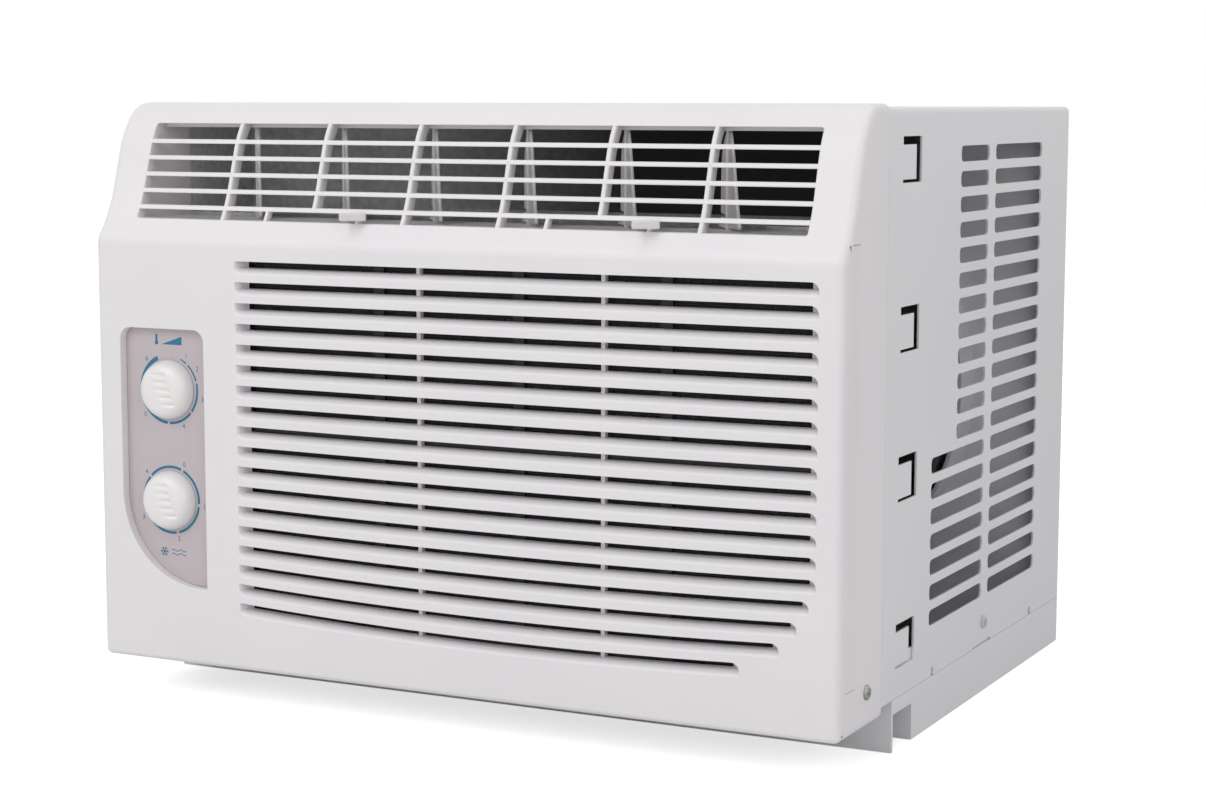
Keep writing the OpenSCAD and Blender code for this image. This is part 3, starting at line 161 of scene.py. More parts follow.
def panel_profile():
    """Side outline of the outer skin in (depth, height), from the lower rear edge round to the
    upper rear edge: flat foot, round lower edge, flat face, knee, hollow, straight run, brow."""
    foot_r, knee = 3.0, 3.6
    c = np.radians(np.linspace(90, 0, 9))
    foot = np.stack([foot_r - foot_r * np.cos(c), panel_foot + foot_r - foot_r * np.sin(c)], 1)
    first = hip_angle + math.degrees(knee / hip_r)
    hollow = heading_arc((0, hip_z), hip_r, hip_angle, face_angle, 200)
    hollow = hollow[np.linspace(hip_angle, face_angle, 200) >= first][::16]
    end = heading_arc((0, hip_z), hip_r, hip_angle, face_angle, 2)[-1]
    t = math.radians(first)
    control = hollow[0] - np.array([math.cos(t), math.sin(t)]) * hollow[0][0] / math.cos(t)
    knee_line = bend(np.array([0, control[1] - knee]), control, hollow[0], 9)
    run_end = end + face_run * np.array([math.cos(math.radians(face_angle)), math.sin(math.radians(face_angle))])
    run = np.linspace(end, run_end, 4)
    brow = heading_arc(run_end, brow_r, face_angle, crown_angle, 9)
    crown_r = (panel_top - brow[-1][1]) / (1 - math.cos(math.radians(crown_angle)))
    brow = np.concatenate([brow, heading_arc(brow[-1], crown_r, crown_angle, 0, 13)[1:]])
    return np.concatenate([[[panel_back, panel_foot]], foot, knee_line[:-1], hollow, run, brow[1:],
                           [[panel_back, panel_top]]])


profile = panel_profile()
step = np.diff(profile, axis=0)
keep = np.concatenate([[True], np.hypot(*step.T) > 1e-6])
profile = profile[keep]
profile[-1, 0] = panel_back
run_v = np.concatenate([[0], np.cumsum(np.hypot(*np.diff(profile, axis=0).T))])
tangent = np.gradient(profile, run_v, axis=0)
tangent /= np.hypot(*tangent.T)[:, None]
tangent[0], tangent[1] = (-1, 0), (-1, 0)
tangent[-1] = tangent[-2] = (1, 0)
flat = (np.abs(profile[:, 0]) < 1e-6)
tangent[flat] = (0, 1)
inward = np.stack([tangent[:, 1], -tangent[:, 0]], 1)


def skin_at(v):
    """Depth, height and unit inward normal of the skin at run v."""
    d, z = (np.interp(v, run_v, profile[:, i]) for i in (0, 1))
    n = np.stack([np.interp(v, run_v, inward[:, i]) for i in (0, 1)], -1)
    return d, z, n / np.linalg.norm(n, axis=-1, keepdims=True)


def on_skin(x, v, inset=0.0):
    """Point and outward normal of the skin at width x and run v, sunk by inset along the normal."""
    d, z, n = skin_at(v)
    place = np.stack([x + 0 * d, front_y + d + inset * n[..., 0], z + inset * n[..., 1]], -1)
    return place, np.stack([0 * d, -n[..., 0], -n[..., 1]], -1)


def run_at_height(z, inset=0.0):
    """The run v at which the upward part of the sunk skin reaches height z."""
    p = profile + inset * inward
    up = (run_v > panel_back - 10) & (run_v < run_v[-1] - 1)
    return np.interp(z, p[up, 1], run_v[up])


def unit(v, least=1e-12):
    """Vectors scaled to length 1 along the last axis; one shorter than least stays near zero."""
    return v / np.maximum(np.linalg.norm(v, axis=-1, keepdims=True), least)


def across_grid(points):
    """Unit cross product of the two directions of an (m, n, 3) grid."""
    return unit(np.cross(np.gradient(points, axis=0), np.gradient(points, axis=1)), 1e-9)


def inside(points, loop):
    """True for 2D points inside a closed loop, by counting crossings of a ray to the right."""
    x, y = points[:, 0, None], points[:, 1, None]
    a, b = loop, np.roll(loop, -1, axis=0)
    crosses = ((a[:, 1] > y) != (b[:, 1] > y)) & (
        x < (b[:, 0] - a[:, 0]) * (y - a[:, 1]) / np.where(b[:, 1] == a[:, 1], 1e-12, b[:, 1] - a[:, 1]) + a[:, 0])
    return crosses.sum(1) % 2 == 1


def cut_sheet(outer, holes, lines=()):
    """Triangles of a flat region: outer loop less the hole loops, with extra lines kept as edges.
    Returns the 2D points and the triangles."""
    points, edges = [], []
    for loop in [outer, *holes]:
        k = len(points)
        points += [tuple(p) for p in loop]
        edges += [(k + i, k + (i + 1) % len(loop)) for i in range(len(loop))]
    for line in lines:
        k = len(points)
        points += [tuple(p) for p in line]
        edges += [(k + i, k + i + 1) for i in range(len(line) - 1)]
    verts, _, faces = geometry.delaunay_2d_cdt(points, edges, [], 0, 1e-5)[:3]
    verts = np.array([tuple(v) for v in verts])
    faces = np.array([f for f in faces if len(f) == 3])
    middle = verts[faces].mean(1)
    wanted = inside(middle, np.array(outer))
    for hole in holes:
        wanted &= ~inside(middle, np.array(hole))
    return verts, faces[wanted]


def facing(verts2d, faces, place):
    """Maps a cut sheet to space with place(points) -> (points, normals), faces turned to the normals."""
    p, n = place(verts2d)
    a, b, c = p[faces[:, 0]], p[faces[:, 1]], p[faces[:, 2]]
    turned = np.einsum("ij,ij->i", np.cross(b - a, c - a), n[faces[:, 0]]) < 0
    faces = faces.copy()
    faces[turned] = faces[turned][:, ::-1]
    return p, n, [tuple(f) for f in faces]


def piece(name, mesh, material, body):
    """Puts a mesh of one material in the scene as an object that rides on a body."""
    mesh.materials.append(material)
    obj = bpy.data.objects.new(name, mesh)
    bpy.context.scene.collection.objects.link(obj)
    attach(obj, body)
    return obj


def moulding(name, patches, material, body):
    """Joins patches into one object, in metres: equal points are merged, each patch keeps its normals."""
    points = np.concatenate([p for p, _, _ in patches])
    normals = np.concatenate([n for _, n, _ in patches])
    faces, k = [], 0
    for p, _, f in patches:
        faces += [tuple(i + k for i in face) for face in f]
        k += len(p)
    _, first, same = np.unique(np.round(points, 3), axis=0, return_index=True, return_inverse=True)
    same = same.ravel()
    mesh = bpy.data.meshes.new(name)
    clean, corner_normals = [], []
    for face in faces:
        ids = [int(same[i]) for i in face]
        kept = [(v, i) for j, (v, i) in enumerate(zip(ids, face)) if v != ids[j - 1]]
        if len(kept) >= 3 and len({v for v, _ in kept}) == len(kept):
            clean.append([v for v, _ in kept])
            corner_normals += [tuple(normals[i]) for _, i in kept]
    mesh.from_pydata((points[first] * MM).tolist(), [], clean)
    mesh.polygons.foreach_set("use_smooth", np.ones(len(mesh.polygons), bool))
    mesh.normals_split_custom_set(corner_normals)
    return piece(name, mesh, material, body)


def ruled(a, b, out, closed=True):
    """Quads between two lines of equally many points. The normals point away from the lines'
    middle for out = 1 and towards it for -1; quads that meet at under 35 degrees shade as one."""
    if closed:
        a, b = np.concatenate([a, a[:1]]), np.concatenate([b, b[:1]])
    along = (a[1:] - a[:-1]) + (b[1:] - b[:-1])
    across = (b[:-1] - a[:-1]) + (b[1:] - a[1:])
    n = unit(np.cross(along, across))
    middle = (a[1:] + a[:-1] + b[1:] + b[:-1]) / 4
    flip = np.sum(n * (middle - middle.mean(0))) * out < 0
    if flip:
        n = -n
    before, after = np.roll(n, 1, 0), np.roll(n, -1, 0)
    if not closed:
        before[0], after[-1] = n[0], n[-1]
    soft = math.cos(math.radians(35))
    start, end = (unit(n + np.where((np.sum(n * other, 1) > soft)[:, None], other, n)) for other in (before, after))
    k = len(n)
    points = np.stack([a[:-1], a[1:], b[1:], b[:-1]], 1).reshape(-1, 3)
    normals = np.stack([start, end, end, start], 1).reshape(-1, 3)
    order = [3, 2, 1, 0] if flip else [0, 1, 2, 3]
    return points, normals, [tuple(q) for q in (np.arange(k)[:, None] * 4 + np.array(order))]


def flat_sheet(outer, holes, place, normal, lines=()):
    """A cut sheet in a plane: place maps its 2D points to space, and every normal is the same."""
    verts, faces = cut_sheet(outer, holes, lines)
    return facing(verts, faces, lambda p: (place(p), np.tile(np.array(normal, float), (len(p), 1))))


def arc(cx, cy, r, a0, a1, n):
    """n + 1 points of a circle round (cx, cy) from angle a0 to a1, in degrees."""
    a = np.radians(np.linspace(a0, a1, n + 1))
    return np.stack([cx + r * np.cos(a), cy + r * np.sin(a)], 1)


def round_rect(x0, x1, z0, z1, r, n=5):
    """Rectangle with round corners, anticlockwise."""
    return np.concatenate([arc(x1 - r, z0 + r, r, -90, 0, n), arc(x1 - r, z1 - r, r, 0, 90, n),
                           arc(x0 + r, z1 - r, r, 90, 180, n), arc(x0 + r, z0 + r, r, 180, 270, n)])


def front_plane(d):
    """Maps (x, z) points to the upright plane at depth d."""
    return lambda p: np.stack([p[:, 0], np.full(len(p), front_y + d), p[:, 1]], 1)


def edge_strip(side, inset, r):
    """The round edge between skin and side wall: x = half - r(1 - sin t) and the skin sunk by
    r(1 - cos t), for t from 0 to a right angle."""
    t = np.radians(np.linspace(0, 90, 8))[:, None]
    d, z, n = skin_at(run_v)
    sunk = inset + r * (1 - np.cos(t))
    x = side * (panel_half - inset - r * (1 - np.sin(t)))
    points = np.stack([x + 0 * d, front_y + d + sunk * n[:, 0], z + sunk * n[:, 1]], -1)
    normals = np.stack([side * np.sin(t) + 0 * d, -np.cos(t) * n[:, 0], -np.cos(t) * n[:, 1]], -1)
    return points, normals


def oriented(points, normals):
    """A patch of quads on an (m, n, 3) grid of points, turned to its own normals."""
    m, n = points.shape[:2]
    i = (np.arange(m - 1)[:, None] * n + np.arange(n - 1)).ravel()
    quads = np.stack([i, i + n, i + n + 1, i + 1], 1)
    p, normals = points.reshape(-1, 3), normals.reshape(-1, 3)
    a, b, c = p[quads[:, 0]], p[quads[:, 1]], p[quads[:, 2]]
    if np.sum(np.cross(b - a, c - a) * normals[quads[:, 0]]) < 0:
        quads = quads[:, ::-1]
    return p, normals, [tuple(q) for q in quads]


def shell(inset, r, holes, side_holes, sign):
    """Skin, round edges and side walls of the panel at one depth under its surface. holes are
    loops in (x, v); side_holes are loops in (depth, z), given for the left and for the right wall;
    sign is 1 for the outer surface and -1 for the inner one."""
    half = panel_half - inset - r
    outer = np.concatenate([[(-half, v) for v in run_v[::-1]], [(half, v) for v in run_v]])
    rows = [[(-half, v), (half, v)] for v in run_v[1:-1]]
    verts, faces = cut_sheet(outer, holes, rows)

    def place(p):
        points, normals = on_skin(p[:, 0], p[:, 1], inset)
        return points, normals * sign
    patches = [facing(verts, faces, place)]
    for side in (-1, 1):
        points, normals = edge_strip(side, inset, r)
        patches.append(oriented(points, normals * sign))
        wall = side * (panel_half - inset)
        patches.append(flat_sheet(points[-1][:, 1:], side_holes[side > 0],
                                  lambda p: np.stack([np.full(len(p), wall), *p.T], 1), (side * sign, 0, 0)))
    return patches


# Intake slots: each is a scoop with a flat roof and a rounded floor that runs out to the
# face at both ends; behind it stays a narrow gap to the filter. The four lowest are shorter.
slot_count, slot_pitch, slot_first = 18, 10.31, 225.4
slot_left, slot_high, slot_gap, slat_depth = -118.0, 6.6, 3.5, 8.0
slot_corner, slot_ease, slot_leave = 4.0, 3.5, 6.0
slot_ends = [191.0] * 14 + [187.7, 182.1, 173.6, 154.3]


def slot_roof(k, x):
    """Height of slot k's upper edge: level at the top of the grille, bowed upwards at both ends
    towards its foot by 4.4 (k/17)^2.5 (((x - 37.5)/153.5)^2 - 0.1)."""
    return slot_first - slot_pitch * k + 4.4 * (k / 17) ** 2.5 * (((x - 37.5) / 153.5) ** 2 - 0.1)


def slot_parts(k):
    """Surfaces of slot k, its mouth as a loop in (x, z), and its gap as a loop at the slats' back.
    The depth is slat_depth times s, which eases from 0 to 1 along slot_ease at the left end and
    along slot_leave at the right one, where the roof comes down in a quarter round; the floor is
    a quarter ellipse."""
    left, right, r = slot_left, slot_ends[k], slot_corner
    into = slot_ease * np.array([0, 0.6, 1.3, 2.1, 3, 4, 5, 6, 7]) / 7
    out = np.sort(r - r * np.sin(np.radians(np.linspace(0, 90, 7))))[::-1]
    x = np.concatenate([left + into, np.linspace(left + slot_ease, right - 7, 26)[1:-1],
                        right - np.array([7, 6, 5]), right - out])
    ease = np.clip((x - left) / slot_ease, 0, 1)
    leave = np.clip((right - x) / slot_leave, 0, 1)
    s = np.minimum(ease ** 2 * (3 - 2 * ease), np.sqrt(np.clip(leave * (2 - leave), 0, 1)))
    drop = np.where(x > right - r, r - np.sqrt(np.maximum(r ** 2 - (x - right + r) ** 2, 0)), 0)
    top = slot_roof(k, x) - drop
    low = slot_roof(k, x) - slot_high
    scale = (top - low) / slot_high
    f = np.radians(np.linspace(0, 90, 9))
    roof_depth = np.concatenate([[0, 0.12], np.linspace(0.4, slat_depth, 4)])
    roof_rise = np.concatenate([[0, 0.28], np.linspace(0.4, 0.6, 4)])
    depth = np.outer(s, np.concatenate([roof_depth, slat_depth * (1 - np.sin(f))]))
    z_roof = top[:, None] + np.outer(s, roof_rise)
    z_floor = low[:, None] + np.outer(scale, (slot_high - slot_gap) * np.cos(f))
    place = np.stack([np.repeat(x[:, None], depth.shape[1], 1), front_y + depth,
                      np.concatenate([z_roof, z_floor], 1)], -1)
    n_roof = len(roof_depth)
    patches = []
    for part, want in ((place[:, :n_roof], -1), (place[:, n_roof:], 1)):
        n = across_grid(part)
        n[np.abs(n).sum(-1) < 0.5] = (0, -1, 0)
        if n[len(x) // 2, 3, 2] * want < 0:
            n = -n
        n[np.abs(s) < 1e-6] = (0, -1, 0)
        patches.append(oriented(part, n))
    whole = np.flatnonzero(s > 0.9999)
    for group in (np.arange(0, whole[0] + 1), np.arange(whole[-1], len(x))):
        back = place[group][:, n_roof - 1:n_roof + 1]
        n = across_grid(back)
        n[n[..., 1] > 0] *= -1
        n[np.abs(n).sum(-1) < 0.5] = (0, -1, 0)
        patches.append(oriented(back, n))
    mouth = np.concatenate([place[:, 0], place[-1, 1:-1], place[::-1, -1], place[0, -2:0:-1]])[:, [0, 2]]
    mouth = mouth[np.concatenate([[True], np.abs(np.diff(mouth, axis=0)).sum(1) > 1e-4])]
    gap = np.concatenate([place[whole, n_roof - 1], place[whole[::-1], n_roof]])[:, [0, 2]]
    return patches, mouth, gap


def skin_loop(loop):
    """An (x, z) loop on the front turned to (x, v)."""
    return np.stack([loop[:, 0], run_at_height(loop[:, 1])], 1)


recess_left, recess_right, recess_foot, recess_head = -188.5, -137.5, 59.0, 190.0


def recess_loop(g):
    """Outline of the control recess grown by g: a rectangle whose lower left corner is a large arc."""
    quarters = ((recess_left + 47, recess_foot + 47, 47, 180, 20), (recess_right - 1, recess_foot + 1, 1, -90, 4),
                (recess_right - 6, recess_head - 6, 6, 0, 6), (recess_left + 6, recess_head - 6, 6, 90, 6))
    return np.concatenate([arc(cx, cz, r + g, a, a + 90, n) for cx, cz, r, a, n in quarters])


duct_x, duct_low, duct_high, duct_corner = 182.0, 245.0, 292.4, 1.3
side_rows = profile[(profile[:, 1] > duct_low + duct_corner + 0.5) & (profile[:, 1] < duct_high - duct_corner - 0.5)
                    & (profile[:, 0] < 45)][:, 1]


def duct_loop(g):
    """Mouth of the discharge duct in (x, z), grown by g."""
    r = duct_corner + g
    side = np.stack([0 * side_rows, side_rows], 1)
    return np.concatenate([arc(duct_x + g - r, duct_low - g + r, r, -90, 0, 4), side + [duct_x + g, 0],
                           arc(duct_x + g - r, duct_high + g - r, r, 0, 90, 4),
                           arc(-duct_x - g + r, duct_high + g - r, r, 90, 180, 4), side[::-1] - [duct_x + g, 0],
                           arc(-duct_x - g + r, duct_low - g + r, r, 180, 270, 4)])


def rounded_mouth(loop_at, radius, steps=3):
    """The quarter round from the skin into an opening, and the line where it ends: the loop
    shrinks by radius sin t while it sinks by radius (1 - cos t)."""
    lines = []
    for t in np.radians(np.linspace(0, 90, steps + 1)):
        loop = loop_at(radius * (1 - math.sin(t)))
        place, _ = on_skin(loop[:, 0], run_at_height(loop[:, 1]))
        place[:, 1] += radius * (1 - math.cos(t))
        lines.append(place)
    return [ruled(a, b, -1) for a, b in zip(lines, lines[1:])], lines[-1]


parts, mouths, gaps = [], [], []
for k in range(slot_count):
    scoop, mouth, gap = slot_parts(k)
    parts += scoop
    mouths.append(skin_loop(mouth))
    gaps.append(gap)

recess_edge, duct_edge = 0.5, 0.8
rounds, recess_line = rounded_mouth(recess_loop, recess_edge)
parts += rounds
rounds, duct_line = rounded_mouth(duct_loop, duct_edge)
parts += rounds

# The duct's walls, straight back to the cabinet, and the ledge that carries the fascia
duct_back = duct_line.copy()
duct_back[:, 1] = front_y + panel_back
parts.append(ruled(duct_line, duct_back, -1))
ledge_depth, ledge_back, ledge_reach, recess_wall = 7.2, 9.0, 3, 2
ledge = recess_line.copy()
ledge[:, 1] = front_y + ledge_depth
ledge_hole, recess_outside = recess_loop(-ledge_reach), recess_loop(recess_wall)
parts += [ruled(recess_line, ledge, -1),
          flat_sheet(recess_loop(0), [ledge_hole], front_plane(ledge_depth), (0, -1, 0)),
          ruled(front_plane(ledge_depth)(ledge_hole), front_plane(ledge_back)(ledge_hole), -1),
          flat_sheet(recess_outside, [ledge_hole], front_plane(ledge_back), (0, 1, 0)),
          ruled(front_plane(ledge_back)(recess_outside), front_plane(wall_t)(recess_outside), 1)]

# Back of the slats, with the rim that joins it to the wall
slat_block = np.array([(-119, 41.2), (193.5, 41.2), (193.5, 229.8), (-119, 229.8)], float)
parts.append(flat_sheet(slat_block, gaps, front_plane(slat_depth), (0, 1, 0)))
parts.append(ruled(front_plane(slat_depth)(slat_block), front_plane(wall_t)(slat_block), 1))

# Outer skin, inner skin and rear rim
cord_outlet = arc(-162, panel_back - 38, 6, 0, 360, 20)[:-1]
filter_mouth = np.array([(6.7, 41.3), (18.1, 41.3), (18.1, 241.5), (6.7, 241.5)]) + [front_y, 0]
duct_outside = round_rect(-duct_x - wall_t, duct_x + wall_t, duct_low - wall_t, duct_high + wall_t, 4)
duct_outside_run = run_at_height(duct_outside[:, 1], wall_t)
duct_hole = np.stack([duct_outside[:, 0], duct_outside_run], 1)
parts += shell(0, edge_r, [*mouths, skin_loop(recess_loop(recess_edge)), skin_loop(duct_loop(duct_edge)), cord_outlet],
               ([], [filter_mouth]), 1)
parts += shell(wall_t, edge_r - wall_t, [skin_loop(slat_block), skin_loop(recess_outside), duct_hole, cord_outlet],
               ([], [filter_mouth]), -1)
jamb = np.stack([np.full(4, panel_half), *filter_mouth.T], 1)
parts.append(ruled(jamb, jamb - [wall_t, 0, 0], -1))
duct_skin, _ = on_skin(duct_outside[:, 0], duct_outside_run, wall_t)
parts.append(ruled(duct_skin, front_plane(panel_back)(duct_outside), 1))
parts.append(flat_sheet(duct_outside, [duct_loop(0)], front_plane(panel_back), (0, 1, 0)))
rear_out, rear_in = (round_rect(-panel_half + g, panel_half - g, panel_foot + g, panel_top - g, edge_r - g, 7)
                     for g in (0, wall_t))
parts.append(flat_sheet(rear_out, [rear_in], front_plane(panel_back), (0, 1, 0)))


def block(x0, x1, d0, d1, z0, z1):
    """Six faces of a box, depths counted from the lower face."""
    loop = np.array([(x0, z0), (x1, z0), (x1, z1), (x0, z1)], float)
    return [ruled(front_plane(d0)(loop), front_plane(d1)(loop), 1),
            flat_sheet(loop, [], front_plane(d0), (0, -1, 0)), flat_sheet(loop, [], front_plane(d1), (0, 1, 0))]


# Two upright bars tie the slats together at the back
for x in (-16.0, 82.6):
    parts += block(x - 1, x + 1, 6, 9.2, 43.3, 228.4)


def skin_depth(z, inset):
    """Depth of the sunk skin at height z."""
    p = (profile + inset * inward)[(run_v > 60) & (profile[:, 0] < 45)]
    return np.interp(z, p[:, 1], p[:, 0])


def closed_tube(sections, caps=True):
    """A tube through (m, n, 3) closed sections, smooth both ways, with flat ends where caps is set."""
    n = unit(np.cross(np.gradient(sections, axis=0), np.roll(sections, -1, 1) - np.roll(sections, 1, 1)))
    if np.sum(n * (sections - sections.mean(1, keepdims=True))) < 0:
        n = -n
    wrapped = np.concatenate([sections, sections[:, :1]], 1)
    patches = [oriented(wrapped, np.concatenate([n, n[:, :1]], 1))]
    if caps:
        for end, inner in ((0, 1), (-1, -2)):
            away = unit((sections[end] - sections[inner]).mean(0))
            ring = list(range(sections.shape[1]))
            a, b, c = (sections[end][i * len(ring) // 3] for i in range(3))
            if np.dot(np.cross(b - a, c - a), away) < 0:
                ring.reverse()
            patches.append((sections[end], np.tile(away, (len(ring), 1)), [tuple(ring)]))
    return patches


def soft_outline(points, r, n=5):
    """A closed outline with every corner rounded by a Bezier of setback r, at most 0.48 of a side."""
    out = []
    for c, b, a, k in zip(points, np.roll(points, 1, 0), np.roll(points, -1, 0), r):
        p, q = (c + unit(end - c) * min(k, np.linalg.norm(end - c) * 0.48) for end in (b, a))
        out.append(bend(p, c, q, n))
    return np.concatenate(out)


# A rim along the top of the opening, set 6 mm behind the face, where the duct's roof ends
rim_line = np.linspace(-duct_x + 0.5, duct_x - 0.5, 3)
rim_face = np.stack([np.stack([rim_line, np.full(3, front_y + float(skin_depth(z, 6.0))), np.full(3, z)], 1)
                     for z in (290.6, 292.8)])
rim_under = np.stack([rim_face[0], rim_face[0] + [0, 8, 0]])
parts.append(oriented(rim_face, np.tile(np.array((0, -1.0, 0)), (2, 3, 1))))
parts.append(oriented(rim_under, np.tile(np.array((0, 0, -1.0)), (2, 3, 1))))

# Level bars, upright ribs and short posts of the discharge grille, moulded in one with the panel
grille_sunk, bar_half, bar_deep = 0.2, 1.1, 4.0
bar_rows = [250.65 + 8.2 * i for i in range(5)]
for z in bar_rows:
    corners = np.array([(skin_depth(h, inset), h) for h, inset in (
        (z - bar_half, grille_sunk), (z - bar_half, bar_deep), (z + bar_half, bar_deep), (z + bar_half, grille_sunk))])
    loop = soft_outline(corners, [0.7, 0.5, 0.5, 0.7])
    ends = [np.stack([np.full(len(loop), x), front_y + loop[:, 0], loop[:, 1]], 1) for x in (-182.5, 182.5)]
    parts.append(ruled(ends[0], ends[1], 1))

rib_places = [(-2.5 + i) * 52 for i in range(6)]


def upright(x, half, deep, z0, z1, radius, n=24):
    """An upright rib: at every height a rectangle with a round nose, from grille_sunk to deep
    behind the skin."""
    z = np.linspace(z0, z1, n)
    t = np.radians(np.linspace(0, 90, 5))
    nose_x = half - radius * (1 - np.sin(t))
    nose_d = radius * (1 - np.cos(t))
    rows = []
    for h in z:
        f, b = skin_depth(h, grille_sunk), skin_depth(h, deep)
        px = np.concatenate([nose_x, [half, -half], -nose_x[::-1]])
        pd = np.concatenate([f + nose_d, [b, b], f + nose_d[::-1]])
        rows.append(np.stack([x + px, front_y + pd, np.full(len(px), h)], 1))
    return closed_tube(np.array(rows))


for i, x in enumerate(rib_places):
    parts += upright(x, 1.2, 6, bar_rows[0] if i % 3 == 1 else duct_low - 0.4, duct_high + 0.4, 1.0)
for i in (1, 4):
    for side in (-1, 1):
        parts += upright(rib_places[i] + side * 26.5, 0.9, 4, duct_low - 0.4, bar_rows[0], 0.7, 6)

# The panel is white ABS from a tool with a fine spark-eroded texture: matt, with a soft broad sheen,
# and a tone that drifts slightly over 60 mm.


def new_finish(name):
    """An empty node material, its tree, and the socket with its Object coordinates."""
    material = bpy.data.materials.new(name)
    material.use_nodes = True
    material.node_tree.nodes.clear()
    return material, material.node_tree, add(material.node_tree, "ShaderNodeTexCoord").outputs["Object"]


def moulded(name, pale, deep, roughness, grain_mm, bump, ior=1.53):
    """A moulded plastic: colour drifts between two tones over 60 mm, and grain of grain_mm
    breaks up the gloss and lifts the normal."""
    material, tree, place = new_finish(name)
    drift = add(tree, "ShaderNodeTexNoise", {"Vector": place, "Scale": 1 / 0.06, "Detail": 3.0})
    grain = add(tree, "ShaderNodeTexNoise", {"Vector": place, "Scale": 1000 / grain_mm, "Detail": 2.0})
    tone = add(tree, "ShaderNodeMixRGB", {"Fac": drift.outputs["Fac"], "Color1": srgb(pale), "Color2": srgb(deep)})
    gloss = add(tree, "ShaderNodeMapRange", {"Value": grain.outputs["Fac"], "To Min": roughness - 0.05,
                                             "To Max": roughness + 0.05})
    lift = add(tree, "ShaderNodeBump", {"Height": grain.outputs["Fac"], "Strength": bump,
                                        "Distance": grain_mm * 0.0003})
    shader = add(tree, "ShaderNodeBsdfPrincipled", {"Base Color": tone.outputs[0], "Roughness": gloss.outputs[0],
                                                    "IOR": ior, "Normal": lift.outputs[0]})
    add(tree, "ShaderNodeOutputMaterial", {"Surface": shader.outputs[0]})
    return material


white_abs = moulded("white_abs_spark_textured", "#ebe8ea", "#e5e2e5", 0.46, 0.6, 0.25)
panel = moulding("front_panel_moulding", parts, white_abs, "housing")
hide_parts("front_panel")


# ---- control fascia and its print ---------------------------------------------------
# A grey moulded plate pressed into the recess. The scales round both dials, their numbers and
# the two signs are printed on it in blue.

fascia_face, ink_rise = 5.0, 0.04
dial_x, upper_dial, lower_dial = -162.0, 159.0, 102.5
grey_abs = moulded("grey_abs_fine_matt", "#c8bec1", "#bfb5b9", 0.5, 0.5, 0.2)


def dress(material, *names):
    """Gives CAD nodes one material on all their slots."""
    for name in names:
        slots = nodes[name].data.materials
        slots.clear()
        slots.append(material)


dress(grey_abs, "control_fascia")

ink, tree, place = new_finish("blue_pad_print")
spots = add(tree, "ShaderNodeTexNoise", {"Vector": place, "Scale": 1400.0, "Detail": 2.0})
blue = add(tree, "ShaderNodeMixRGB", {"Fac": spots.outputs["Fac"],
                                      "Color1": srgb("#17688a"), "Color2": srgb("#2580a0")})
shader = add(tree, "ShaderNodeBsdfPrincipled", {"Base Color": blue.outputs[0], "Roughness": 0.42})
add(tree, "ShaderNodeOutputMaterial", {"Surface": shader.outputs[0]})


def ring_arc(cz, a0, a1, r, w0, w1):
    """A flat arc of print, clockwise from a0 to a1 degrees past the top, at radius r; its width
    goes from w0 to w1."""
    a = np.radians(np.linspace(a0, a1, max(4, int(abs(a1 - a0) / 3))))
    w = np.linspace(w0, w1, len(a)) / 2
    rim = [np.stack([dial_x + (r + s * w) * np.sin(a), np.full(len(a), front_y + fascia_face - ink_rise),
                     cz + (r + s * w) * np.cos(a)], 1) for s in (-1, 1)]
    return oriented(np.stack(rim), np.tile(np.array((0, -1.0, 0)), (2, len(a), 1)))


def print_mark(loop):
    """A printed patch with an (x, z) outline."""
    return flat_sheet(np.array(loop, float), [], front_plane(fascia_face - ink_rise), (0, -1, 0))


marks = []
upper_stops = [22, 40, 75, 130, 183, 273, 338]
upper_widths = ((0.7, 0.7), (0.8, 0.9), (1.1, 1.2), (1.2, 1.3), (1.5, 1.7), (1.7, 2.2))
for a0, a1, (w0, w1) in zip(upper_stops, upper_stops[1:], upper_widths):
    marks.append(ring_arc(upper_dial, a0 + 2, a1 - 2, 17.1, w0, w1))
lower_stops = [24, 96, 168, 240, 312, 384]
for a0, a1 in zip(lower_stops, lower_stops[1:]):
    marks.append(ring_arc(lower_dial, a0 + 2.5, a1 - 2.5, 16.9, 1.3, 1.3))

# Sign over the upper dial: a thermometer beside a rising wedge. Sign under the lower dial: a
# frost star and two air waves.
marks.append(print_mark(np.concatenate([arc(-169.5, 182.5, 1.1, 130, 410, 16), arc(-169.5, 186.4, 0.6, 0, 180, 6)])))
marks.append(print_mark([(-166.5, 181.7), (-154.0, 181.7), (-154.0, 186.0)]))
for k in range(3):
    a = math.radians(60 * k)
    u = np.array([math.cos(a), math.sin(a)])
    v = np.array([-u[1], u[0]])
    c = np.array([-167.0, 75.6])
    marks.append(print_mark([c + 2.3 * i * u + 0.22 * j * v for i, j in ((-1, -1), (1, -1), (1, 1), (-1, 1))]))
    for s in (-1, 1):
        for t in (-1, 1):
            p = c + s * 1.4 * u
            q = p + s * 0.8 * u + t * 0.75 * v
            w = np.array([-(q - p)[1], (q - p)[0]]) * 0.16
            marks.append(print_mark([p - w, q - w, q + w, p + w]))
for z in (74.6, 76.6):
    x = np.linspace(-162.5, -153.5, 25)
    wave = z + 0.45 * np.sin((x + 162.5) * 2 * math.pi / 4.5)
    marks.append(print_mark(np.concatenate([np.stack([x, wave - 0.22], 1), np.stack([x, wave + 0.22], 1)[::-1]])))
prints = moulding("dial_scales", marks, ink, "housing")


